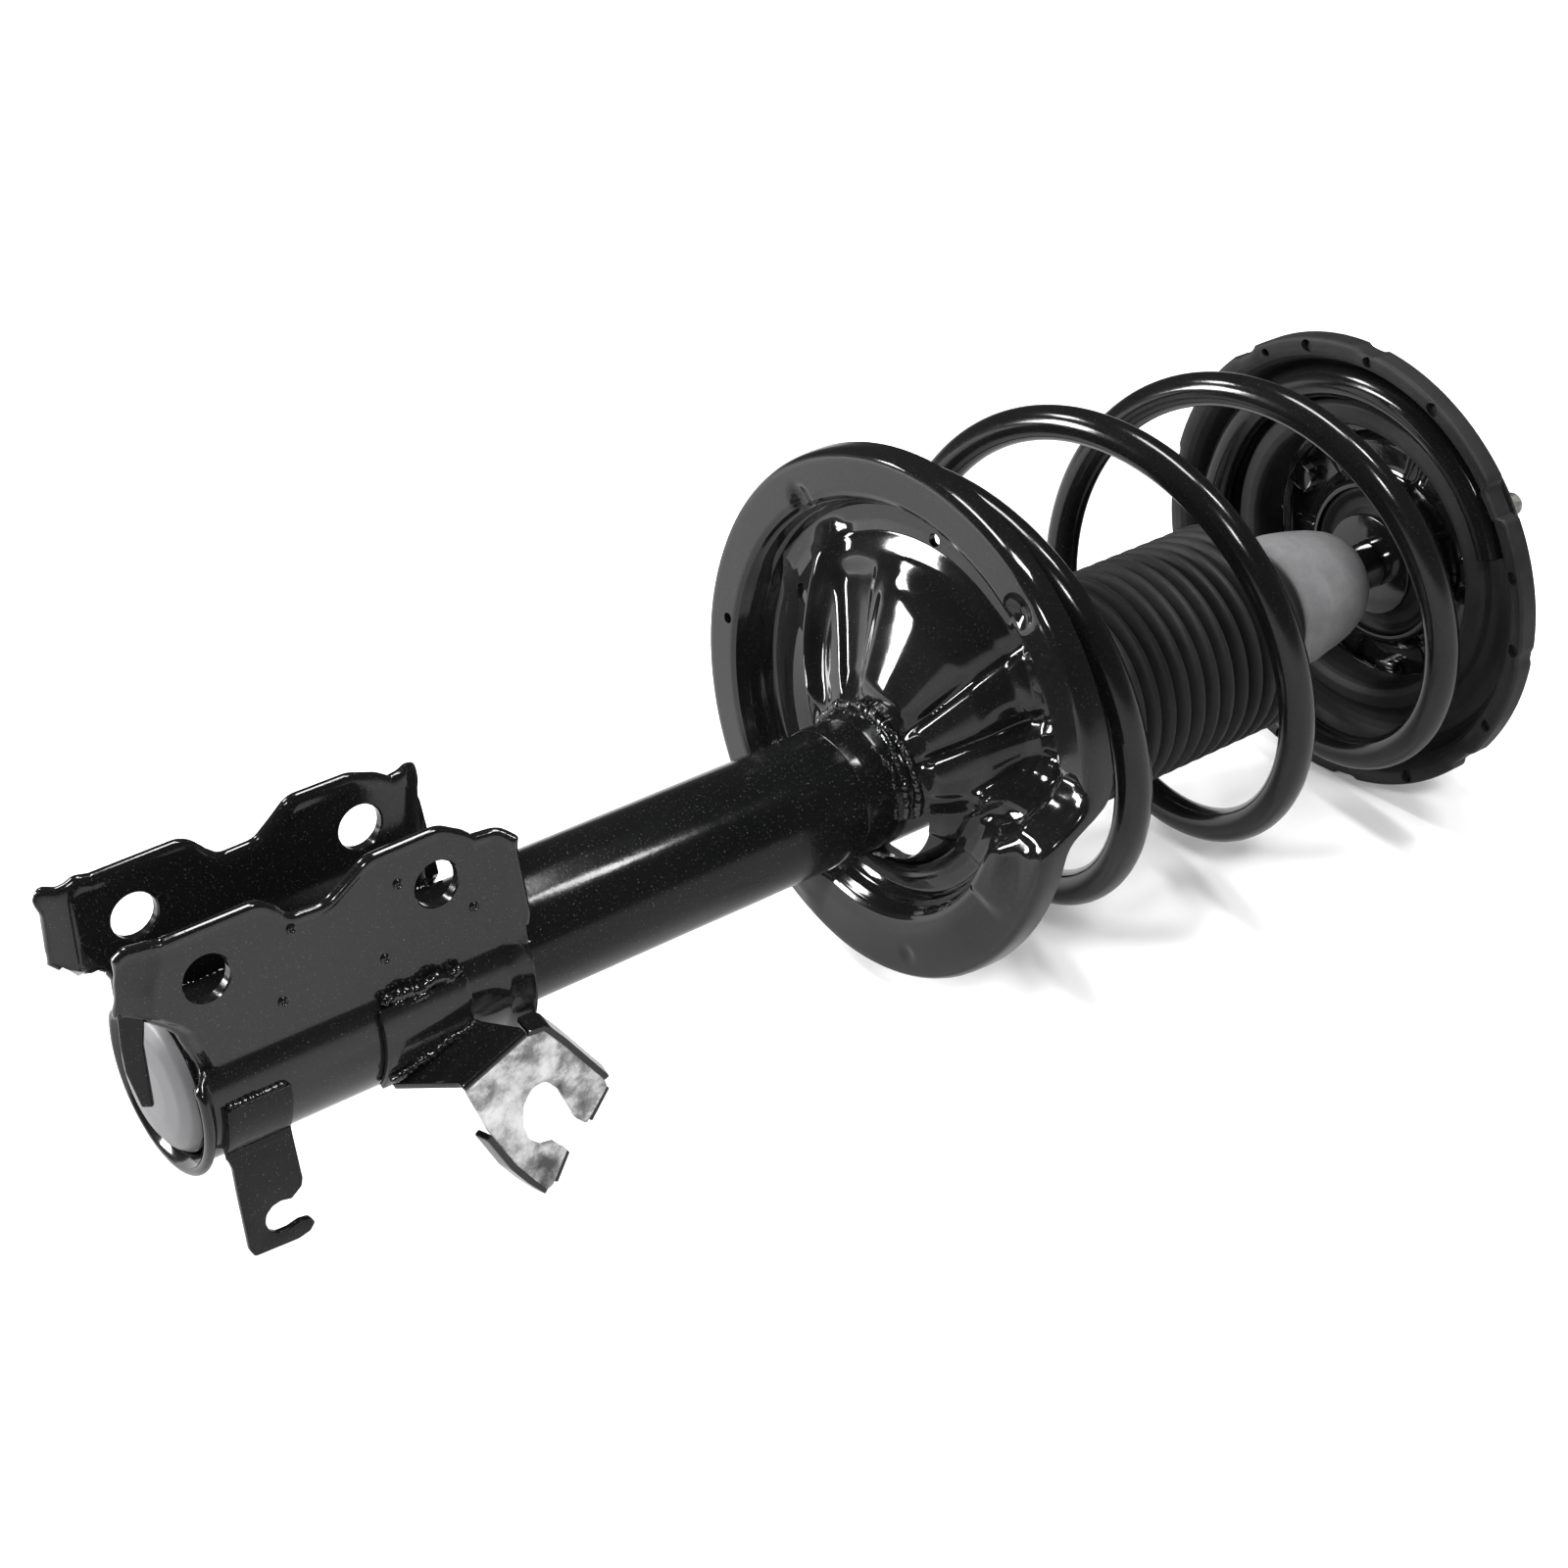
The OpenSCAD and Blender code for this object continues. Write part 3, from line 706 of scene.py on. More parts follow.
# tongue left standing at the free end of the near ear
G = []
for c in np.linspace(0, 1, 7):
    row = []
    for z in np.linspace(45, 9, 40):
        f = np.interp(z, [9, 22, 32, 45], [0.40, -0.04, -0.08, 0.0]) * (1 - c) + np.interp(z, [9, 31, 45], [0.76, 0.72, 1.0]) * c
        row.append((-28 + 5.8 * f, -18.9 - 4.64 * f, z))
    G.append(row)
G = np.array(G)
# the tongue takes the darker clip paint as painted shade, so it reads black like a facet turned away from the light
tongue = round_sheet("tongue", G, 3.6, "clip", "strut_tube", "gloss_black", 1.0, 33, 0.6)
br = join([br, tongue], "knuckle_bracket_shell")
# pierced locating dimples on the near ear
dots = [(30.5, 54.0), (24.5, 29.0), (70, 54.5), (62.5, 29.0), (97.5, 34.5)]
settle(br, "knuckle_bracket")


# ---------------------------------------------------------------- lower spring seat

ring_k = [230, 270, 300, 338, 360, 384, 430, 458, 490, 527, 537, 541, 543.5, 546, 549, 562, 590]
ring_v = [284, 284, 286, 290.5, 293.5, 297, 302, 305.5, 307.5, 309.5, 309.8, 306.5, 299, 291, 289, 287.5, 284]
_ka = np.arange(230, 591, 1.0)
_kv = np.interp(_ka, ring_k, ring_v)
_kl = np.convolve(np.concatenate([_kv[-13:-1], _kv, _kv[1:13]]), np.hanning(25) / np.hanning(25).sum(), "valid")[:len(_ka)]
_ks = np.convolve(np.concatenate([_kv[-3:-1], _kv, _kv[1:3]]), np.hanning(7)[1:-1] / np.hanning(7)[1:-1].sum(), "valid")[:len(_ka)]
_kw = np.clip((_ka - 515) / 12, 0, 1) * np.clip((575 - _ka) / 12, 0, 1)
_kv = _kl * (1 - _kw) + _ks * _kw


def ring_x(a):
    a = np.asarray(a, float) % 360
    a = np.where(a < 230, a + 360, a)
    return np.interp(a, _ka, _kv)


SC = np.array([5.0, 21.0])


def seat_surface(th, r):
    """front (-X) face of the pan: th in degrees about the seat's centre, r in mm"""
    rx = ring_x(th)
    k = np.clip((r - 28.6) / (66 - 28.6), 0, 1)
    k = smooth(k) * 0.6 + k * 0.4
    cy, cz = SC[0] * k, SC[1] * k
    y, z = cy + r * np.cos(D(1) * th), cz + r * np.sin(D(1) * th)
    t0 = np.degrees(np.arctan2(z, y)) % 360
    r0 = np.hypot(y, z)
    pr = [25.6, 28.6, 33, 38, 46, 54, 62, 67.5, 72, 77.5, 80, 82, 84.2, 86, 98.2, 100, 101.2, 101.6]
    base = np.array([284.5, 286.5, 289.5, 292.0, 297.0, 301.5, 0, 0, 0, 0, 0, 0, 0, 0, 0, 0, 0, 0])
    offs = np.array([0, 0, 0, 0, 0, 0, 7.5, 10.6, 11.2, 10.8, 7.8, 3.4, 0.7, 0, 0, 1.0, 4.0, 10.5])
    x = np.zeros_like(r)
    # the ring is wider along the bottom
    re = r + 8.4 * smooth((th - 187) / 9) * smooth((322 - th) / 34) * smooth((r - 42) / 18) * smooth((99.5 - r) / 17)
    prof = np.zeros((len(pr),) + r.shape)
    for i in range(len(pr)):
        if i < 6:
            prof[i] = base[i] + (rx - 297) * [0, 0, 0.02, 0.05, 0.15, 0.3][i]
        else:
            prof[i] = rx + offs[i]
    idx = np.clip(np.searchsorted(pr, re, side="right") - 1, 0, len(pr) - 2)
    p0, p1 = np.array(pr)[idx], np.array(pr)[idx + 1]
    t = (re - p0) / (p1 - p0)
    a = np.take_along_axis(prof, idx[None], 0)[0]
    b = np.take_along_axis(prof, (idx + 1)[None], 0)[0]
    x = a + (b - a) * np.where((p0 > 76) & (p0 < 97), smooth(t), t)
    # petals pressed towards the knuckle, with creases between them
    env = smooth((r0 - 28.5) / 12) * smooth((83 - r0) / 11)
    for a0, a1, h in ((58, 78, -3.0), (78, 126, 5.2), (127, 146.5, 2.2), (147.5, 172, 3.4), (174, 200, 2.6), (290, 330, 2.6)):
        s = np.clip(((t0 - a0) % 360) / (a1 - a0), 0, 1)
        s = np.where((t0 - a0) % 360 <= (a1 - a0), (0.55 * smooth(np.minimum(s, 1 - s) / 0.2) + 0.45 * (1 - np.abs(2 * s - 1) ** 1.6)), 0)
        x -= h * s * env
    # raised rib, and the deep pocket beside it
    rib_c = 33 + 25 * smooth((r0 - 34) / 60)
    x -= 7.0 * np.exp(-(adist(t0, rib_c) / 5.0) ** 2) * smooth((r0 - 30) / 14) * smooth((98 - r0) / 14)
    pocket = smooth((34 - np.abs(adist(t0, 6))) / 14) * smooth((r0 - 36) / 16) * smooth((84 - r) / 8)
    x += 4.5 * pocket
    # creases run out into notches on the ring
    x += 2.4 * np.exp(-(adist(t0, 126.5) / 2.6) ** 2) * smooth((r0 - 34) / 10) * smooth((96 - r0) / 10)
    x += 1.6 * np.exp(-(adist(t0, 146.5) / 2.0) ** 2) * smooth((r0 - 30) / 10) * smooth((74 - r0) / 10)
    # dimples on the ring
    for ta, ra, w, h in ((55, 86.5, 7.0, 2.8), (135, 90.5, 7.5, 3.2), (250, 91, 5, 0.8), (161, 58, 6.5, 3.0)):
        dy = r * np.cos(D(1) * th) - ra * math.cos(D(ta))
        dz = r * np.sin(D(1) * th) - ra * math.sin(D(ta))
        x += h * smooth(1 - np.hypot(dy, dz) / w) ** 0.8
    # facets pressed across the step
    st = smooth(1 - np.abs(adist(th, 181)) / 9)
    x -= 1.0 * st * smooth((r - 62) / 10) * smooth((97 - r) / 6)
    x += 1.6 * np.exp(-(adist(th, 176) / 1.8) ** 2) * smooth((r - 66) / 6) * smooth((97 - r) / 5)
    x += 1.3 * np.exp(-(adist(th, 188) / 1.6) ** 2) * smooth((r - 62) / 8) * smooth((96 - r) / 5)
    # channel along the bottom
    ch = smooth(1 - np.abs(adist(th, 262)) / 58)
    x += 2.2 * ch * bump(r, 72, 12)
    return np.stack([x, y, z], -1)


def build_seat():
    th = np.arange(0, 360, 0.75)
    rr = np.concatenate([np.linspace(25.6, 66, 50), np.linspace(66.8, 86.5, 30), np.linspace(87.5, 98.2, 9), [99.2, 100.0, 100.7, 101.2, 101.45, 101.6]])
    TH, RR = np.meshgrid(th, rr, indexing="ij")
    P = seat_surface(TH, RR)
    # the outer wall turns back: its last rings go straight along x
    R2 = RR.copy()
    for j, (rad, off) in enumerate([(99.6, 0.4), (100.5, 1.4), (101.1, 3.2), (101.35, 5.6), (101.45, 8.2), (101.5, 10.5)]):
        jj = len(rr) - 6 + j
        P[:, jj, 0] = ring_x(th) + off
        P[:, jj, 1] = SC[0] + rad * np.cos(D(1) * th)
        P[:, jj, 2] = SC[1] + rad * np.sin(D(1) * th)
    o = solid_sheet("lower_seat_pan", P, 2.8, "seat", "strut_tube", "seat_black", 30, 0, side=SEAT_SIDE, wrap_i=True)
    c = []
    for ta, ra, w in ((5.2, 88.9, 2.2), (26.1, 63.8, 3.2), (97.6, 70.5, 2.6)):
        y, z = SC[0] + ra * math.cos(D(ta)), SC[1] + ra * math.sin(D(ta))
        c.append(cylinder((250, y, z), (340, y, z), w, 28))
    cut(o, cutter(c))
    cut(o, drain_cutter(250, 340))
    return o


def drain_cutter(x0, x1):
    """curved gap left open between the pan and the tube"""
    a_ = np.radians(np.linspace(188, 244, 24))
    loop = fillet([(24 * math.cos(q), 24 * math.sin(q)) for q in a_] + [(33.6 * math.cos(q), 33.6 * math.sin(q)) for q in a_[::-1]], [0] * 23 + [1.5, 3] + [0] * 22 + [3], 5, True)
    n_ = len(loop)
    V = [(x, p_[0], p_[1]) for x in (x0, x1) for p_ in loop]
    F = [tuple(range(n_))[::-1], tuple(range(n_, 2 * n_))] + [(j, (j + 1) % n_, n_ + (j + 1) % n_, n_ + j) for j in range(n_)]
    return cutter([(V, F)])


SEAT_SIDE = -1.0
seat = build_seat()
settle(seat, "lower_spring_seat")

collar = revolve("seat_collar_ring", fillet([(25.6, 266), (26.0, 266.2), (26.3, 270), (26.5, 279), (28.2, 284.2), (29.6, 286.3), (25.6, 286.3)], [0.1, 0.3, 3, 6, 3, 0.8, 0.2], 4, True), "tube", "strut_tube", "gloss_black", 140,
                 wob=lambda th, x: 0.15 * np.sin(3 * th + 0.3 * x))
cut(collar, drain_cutter(250, 340))
# weld round the hub, broken by the gap, and heavier on the near side
a = np.radians(np.linspace(-112, 186, 190))
b1 = bead("w1", np.stack([287.0 + 0.5 * np.sin(3 * a), 29.6 * np.cos(a), 29.6 * np.sin(a)], -1), 1.7, "weld", "strut_tube", "gloss_black", 3, 2.6, 0.6)
a = np.radians(np.linspace(70, 186, 90))
b2 = bead("w2", np.stack([284.2 + 0.9 * np.sin(4 * a), 27.2 * np.cos(a), 27.2 * np.sin(a)], -1), 1.5, "weld", "strut_tube", "gloss_black", 4, 3.1, 1.2)
a = np.radians(np.linspace(120, 184, 40))
b3 = bead("w3", np.stack([279.5 + 1.2 * np.sin(5 * a + 1), 25.9 * np.cos(a), 25.9 * np.sin(a)], -1), 1.0, "weld", "strut_tube", "gloss_black", 9, 3.7, 1.6)
settle(join([collar, b1, b2, b3], "seat_collar_ring"), "seat_collar")

th = np.arange(262, 522.1, 2.0)
pad_prof = [(84.8, 2.9), (96.6, 2.9), (97.2, 4.2), (97.2, 6.0), (96.4, 6.4), (95.6, 5.6), (94.3, 5.0), (90, 4.9), (85.0, 5.0)]
V = [(ring_x(t) + p[1], SC[0] + p[0] * math.cos(D(t)), SC[1] + p[0] * math.sin(D(t))) for t in th for p in pad_prof]
F = grid_faces(len(th), len(pad_prof)) + [tuple(range(len(pad_prof)))[::-1], tuple(range(len(V) - len(pad_prof), len(V)))]
pad = mk("lower_pad_strip", V, F, "seal", "strut_tube", "seal_rubber")
settle(pad, "lower_spring_pad")

# ---------------------------------------------------------------- coil spring

WR = 6.9
_tx = [620, 645, 670, 690, 705, 720, 735, 755, 900]
_tv = [532.7, 538.2, 542.7, 545.8, 548.1, 550.1, 551.5, 552.5, 552.5]


def wire(a):
    a = np.asarray(a, float)
    u = a / 360
    free = 385 + 84 * u + 0.6 * u ** 3
    dead = ring_x(a + 720) + 3 + 2 + WR + 0.15
    s = smooth((a + 335) / 45)
    x = np.where(a < -290, dead + (free - dead) * s, np.where(a < 620, free, np.interp(a, _tx, _tv)))
    ur = np.minimum(a, 735) / 360
    R = np.where(a < 0, 89.3 - 0.6 * np.clip(-u, 0, 1), np.where(a < 700, 89.3 - 0.26 * ur - 2.64 * ur * ur, np.interp(a, [700, 735, 765, 800], [78.8, 77.1, 76.2, 76])))
    uc = np.clip(u, -0.6, 2.05)
    return np.stack([x, 4.5 - 2.69 * uc + R * np.cos(D(1) * a), 17.35 - 4.85 * uc + R * np.sin(D(1) * a)], -1)


WA = np.linspace(-468, 880, 900)
WP = wire(WA)
for _ in range(6):
    WP[1:-1] = (WP[:-2] + 2 * WP[1:-1] + WP[2:]) / 4
spring = tube_path("coil_spring_wire", WP, WR, "wire", "strut_tube", "spring_black", 32, True, 0.16, 50)

# ---------------------------------------------------------------- dust boot

PL, BX0, BX1 = 17, 344.0, 479.0
prof = [(27.3, 326), (28.6, 326), (29.4, 327.5), (29.4, 333), (30.2, 335), (33, 338), (36.5, 340.5)]
inner = []
for i in range(PL * 12 + 1):
    s = i / 12
    x = BX0 + (BX1 - BX0) * s / PL
    w = abs(math.sin(math.pi * s))
    r = 38.2 + 6.0 * (1 - (1 - w) ** 1.5)
    prof.append((r, x))
    inner.append((r - 1.5, x))
prof += [(36.5, 480.0), (33, 481.8), (30, 484.2), (28, 487), (27.3, 489.2), (27.1, 494.6), (21.9, 494.6), (21.9, 489.4), (26.5, 486.4), (31, 482)]
prof += inner[::-1] + [(32, 341.5), (27.3, 339)]
boot = revolve("bellows_boot", prof, "boot", "strut_tube", "boot_rubber", 128, (-0.6, -0.6), 40)

# ---------------------------------------------------------------- rod end pieces seen under the mount

bs = fillet([(10.05, 480), (19, 480), (22, 481.5), (23, 483), (23, 484.6), (21.6, 486.6), (21.6, 494.9), (23, 495.7), (27, 495.9), (28.4, 497.6), (28.4, 511), (27.3, 517), (26.2, 524), (24.6, 531), (22.2, 537.5), (19, 542.5), (15.5, 546), (12.5, 547.6), (10.05, 547.8)],
            [0.1, 1, 1, 1, 1, 1, 0.6, 1, 1.5, 2, 5, 8, 10, 10, 8, 6, 4, 1.5, 0.1], 4, True)
bump_stop = revolve("bump_stop_foam", bs, "foam", "top_mount", "foam_grey", 120, (0, 0), 45,
                    wob=lambda th, x: 0.22 * np.sin(3 * th + x * 0.12) * (x > 502) + 0.35 * np.exp(-((x - 517) / 2.2) ** 2) * np.sin(th - 0.6))
settle(bump_stop, "bump_stop")

# ---------------------------------------------------------------- rubber insulator

IC = np.array([0.0, 6.0])


def build_disc():
    th = np.arange(0, 360, 1.0)
    front = [(56.6, 568.5), (56.6, 560), (57.4, 556.5), (58.6, 554.6), (61.5, 553.6), (66.4, 554.2), (68, 555.8), (69.4, 558.2), (72.2, 560), (76, 560.5), (79.3, 560), (81.9, 558.7), (84.4, 555.6), (86.2, 551.6), (87.6, 547.8), (89.6, 544.6), (92, 543.0), (94.5, 542.3), (96, 542.1), (97.2, 542.2), (98, 543.2), (98, 550.8)]
    back = [(89.2, 551.9), (87.8, 557.4), (83, 562), (76, 565), (66, 567.5)]
    fr = fillet(front, [0, 1, 1.5, 1.5, 2, 2, 1, 1.5, 2, 3, 2, 2, 2, 2, 2, 1.5, 1.5, 1.5, 1, 0.6, 0.6, 0], 3)
    n_f = len(fr)
    prof = np.concatenate([fr, np.array(back)])
    TH = D(1) * th[:, None]
    R = np.broadcast_to(prof[None, :, 0], (len(th), len(prof))).copy()
    X = np.broadcast_to(prof[None, :, 1], R.shape).copy()
    # rim notches and a scalloped, slightly uneven edge
    edge = smooth((R - 89) / 7)
    for a0, w, d in ((53, 4, 1.5), (94, 3.2, 1.3), (144.5, 5, 3.4), (220, 4.5, 1.8), (262, 4, 1.5), (310, 4, 1.6), (12, 3, 1.2), (184, 2.4, 0.9)):
        k = smooth((w - np.abs(adist(th, a0))) / 1.6)[:, None]
        R -= d * k * edge
    R -= (0.5 + 0.5 * np.sin(D(1) * th * 3 + 0.7))[:, None] * 0.7 * edge
    Y, Z = IC[0] + R * np.cos(TH), IC[1] + R * np.sin(TH)
    P = np.stack([X, Y, Z], -1)
    n, m = P.shape[:2]
    o = mk("insulator_disc", P.reshape(-1, 3), grid_faces(n, m, True, True), "disc", "upper_seat", "rubber_disc", 32)
    return o


def disc_rim():
    """grid of angles and radii for the rim's front face; no skin or hollows are built from it here"""
    th = np.arange(0, 360, 0.6)
    rr = np.concatenate([np.linspace(86.8, 90, 6), np.linspace(90.5, 97.4, 18)])
    TH, RR = np.meshgrid(th, rr, indexing="ij")
    return TH, RR


disc = build_disc()
cc = []
for ta, ra, w in ((33, 94, 2.4), (75, 94, 2.8), (95, 93.6, 2.4), (117, 94, 3.0), (163, 94, 2.7), (182, 94, 2.7), (206, 94, 2.5), (240, 94, 2.8), (285, 94, 2.7), (330, 94, 2.7), (5, 94, 2.3), (60, 93.6, 1.8)):
    y, z = IC[0] + ra * math.cos(D(ta)), IC[1] + ra * math.sin(D(ta))
    cc.append(cylinder((538, y, z), (544.9, y, z), w, 28))
cut(disc, cutter(cc))
settle(disc, "upper_insulator")

# pressed upper seat behind the rubber
us = fillet([(56.7, 569.1), (66.1, 567.6), (76.2, 565.1), (83.2, 562.1), (88, 557.6), (89.4, 552.1), (93.8, 551.4), (93.8, 553.4), (91.2, 554.2), (89.8, 558.6), (84.6, 563.8), (77, 567), (73.5, 570.8), (56.7, 570.8)], [0.2, 4, 4, 3, 2, 1.5, 0.3, 0.3, 2, 2, 3, 2, 1.5, 0.2], 4, True)
settle(revolve("upper_seat_pressing", us, "cup", "upper_seat", "mount_black", 160, (0, 6.0), 35), "upper_spring_seat")

# ---------------------------------------------------------------- top mount

def build_shell():
    th = np.arange(0, 360, 1.0)
    # underside first, from the hub out, then back over the top
    low = [(33, 566.2), (34.6, 566), (36.2, 567.4), (37.2, 572), (38.6, 575.4), (42, 576.7), (48, 576.8), (56, 576.8), (71, 576.8)]
    high = [(72.6, 577.6), (73, 579), (72.4, 580), (56, 580), (48, 580), (42, 580), (38.5, 581), (36.2, 583), (35, 588), (33, 588)]
    lo = fillet(low, [0, 0.8, 1.2, 2, 2, 2, 0, 0, 0], 4)
    hi = fillet(high, [0, 0.6, 0.4, 0, 0, 1.5, 2, 1, 0.6, 0], 3)
    prof = np.concatenate([resample(lo, 40), hi])
    R = np.broadcast_to(prof[None, :, 0], (360, len(prof))).copy()
    X = np.broadcast_to(prof[None, :, 1], R.shape).copy()
    under = np.zeros(len(prof))
    under[:40] = 1
    # stamped lands between the stud heads and drawn pockets
    for a0 in (83.5, 203.5, 323.5):
        w = smooth((24 - np.abs(adist(th, a0))) / 7)[:, None]
        X -= 4.2 * w * smooth((R - 37) / 3) * smooth((55 - R) / 3) * under[None, :]
    for a0 in (50, 118, 170, 232, 290, 355):
        w = smooth((9 - np.abs(adist(th, a0))) / 4)[:, None]
        X -= 2.4 * w * smooth((R - 39) / 3) * smooth((58 - R) / 4) * under[None, :]
    P = np.stack([X, R * np.cos(D(1) * th)[:, None], R * np.sin(D(1) * th)[:, None]], -1)
    n, m = P.shape[:2]
    return mk("mount_cup", P.reshape(-1, 3), grid_faces(n, m, True, True), "cup", "top_mount", "mount_black", 32)


shell = build_shell()
settle(shell, "mount_shell")

mr = fillet([(13.05, 568), (16, 566.8), (21, 566.6), (24, 569.5), (28, 570), (31, 567.5), (32.9, 568.4), (32.9, 586), (29, 587.6), (26, 585), (21, 586), (17, 588), (13.05, 586.5)], [0.2, 1, 2, 2, 2, 1, 0.4, 0.5, 1, 2, 2, 1, 0.2], 4, True)
settle(revolve("mount_rubber_ring", mr, "mrub", "top_mount", "mount_rubber", 120, (0, 0), 40), "mount_rubber")

# three studs with threads and square heads
studs = []
for k in range(3):
    ang = D(143.5 + 120 * k)
    c = np.array([0, 53 * math.cos(ang), 53 * math.sin(ang)])
    prof = [(0.02, 571.9), (5.55, 571.9), (5.55, 580), (4.6, 580.2), (4.6, 581.2)]
    x = 581.6
    while x < 599.6:
        prof += [(4.95, x), (4.95, x + 0.2), (4.35, x + 0.75), (4.35, x + 0.85)]
        x += 1.25
    prof += [(4.8, x), (3.9, 601.6), (3.2, 602.3), (0.02, 602.4)]
    studs.append(revolve("s%d" % k, prof, "zinc", "top_mount", "zinc", 40, (c[1], c[2]), 30, closed=False))
    er, et = np.array([0, math.cos(ang), math.sin(ang)]), np.array([0, -math.sin(ang), math.cos(ang)])
    V = [np.array([x, 0, 0]) + c + er * p + et * q for x in (571.8, 576.7) for p, q in ((-5.4, -5.4), (5.4, -5.4), (5.4, 5.4), (-5.4, 5.4))]
    h = mk("h%d" % k, V, [(3, 2, 1, 0), (4, 5, 6, 7), (0, 1, 5, 4), (1, 2, 6, 5), (2, 3, 7, 6), (3, 0, 4, 7)], "cup", "top_mount", "zinc")
    bevel(h, 0.9, 3, 30)
    bake(h)
    studs.append(h)
settle(join(studs, "mount_stud_set"), "mount_studs")

# rod nut with chamfered corners
def nut(name, x0, x1, af, bore, mat, slot):
    n = 48
    prof = []
    V = []
    rows = []
    for x, lim in ((x0, af / 2 * 0.97), (x0 + 0.9, 1e9), (x1 - 0.9, 1e9), (x1, af / 2 * 0.97)):
        ring = []
        for k in range(n * 2):
            t = math.pi * k / n
            loc = (t + math.pi / 6) % (math.pi / 3) - math.pi / 6
            r = min(af / 2 / math.cos(loc), lim if lim < 1e8 else 1e9)
            ring.append((x, r * math.cos(t), r * math.sin(t)))
        rows.append(ring)
    for x, r in ((x1, bore + 0.6), (x1 - 0.6, bore), (x0 + 0.6, bore), (x0, bore + 0.6)):
        rows.append([(x, r * math.cos(math.pi * k / n), r * math.sin(math.pi * k / n)) for k in range(n * 2)])
    V = [p for r in rows for p in r]
    return mk(name, V, grid_faces(len(rows), n * 2, True, True), mat, "top_mount", slot, 25)


settle(nut("rod_nut_hex", 591.05, 602, 22, 7.05, "zinc", "zinc"), "rod_nut")
settle(revolve("upper_washer_disc", fillet([(7.1, 588.55), (22, 588.55), (22, 591), (7.1, 591)], 0.5, 3, True), "steel", "top_mount", "steel", 90), "upper_washer")
settle(revolve("lower_washer_disc", fillet([(7.1, 562.4), (22, 562.4), (22, 564.95), (7.1, 564.95)], 0.5, 3, True), "cup", "top_mount", "steel", 90), "lower_washer")
rod = fillet([(0.02, 272.5), (5.2, 272.5), (5.9, 273.3), (5.9, 300), (9.9, 300.2), (10, 301), (10, 561.6), (9.2, 562.4), (6.95, 562.5), (6.95, 589)], 0.15, 2)
rod = [tuple(p) for p in rod]
x = 589.5
while x < 605.4:
    rod += [(6.95, x), (6.95, x + 0.25), (6.25, x + 0.85), (6.25, x + 1.0)]
    x += 1.5
rod += [(6.8, x), (5.8, 606.9), (0.02, 607)]
settle(revolve("piston_rod_shaft", rod, "chrome", "top_mount", "rod_chrome", 96, closed=False, sharp=30), "piston_rod")

# ---------------------------------------------------------------- hose bracket

def sheet_strip(name, P0, P1, t, mat="bracket", bev=0.5, n=24, side=1.0):
    """ribbon between two polylines"""
    A, B = resample(P0, n), resample(P1, n)
    m = 8
    G = np.stack([A + (B - A) * k / (m - 1) for k in range(m)], 1)
    return solid_sheet(name, G, t, mat, "strut_tube", "gloss_black", 38, bev, side=side)


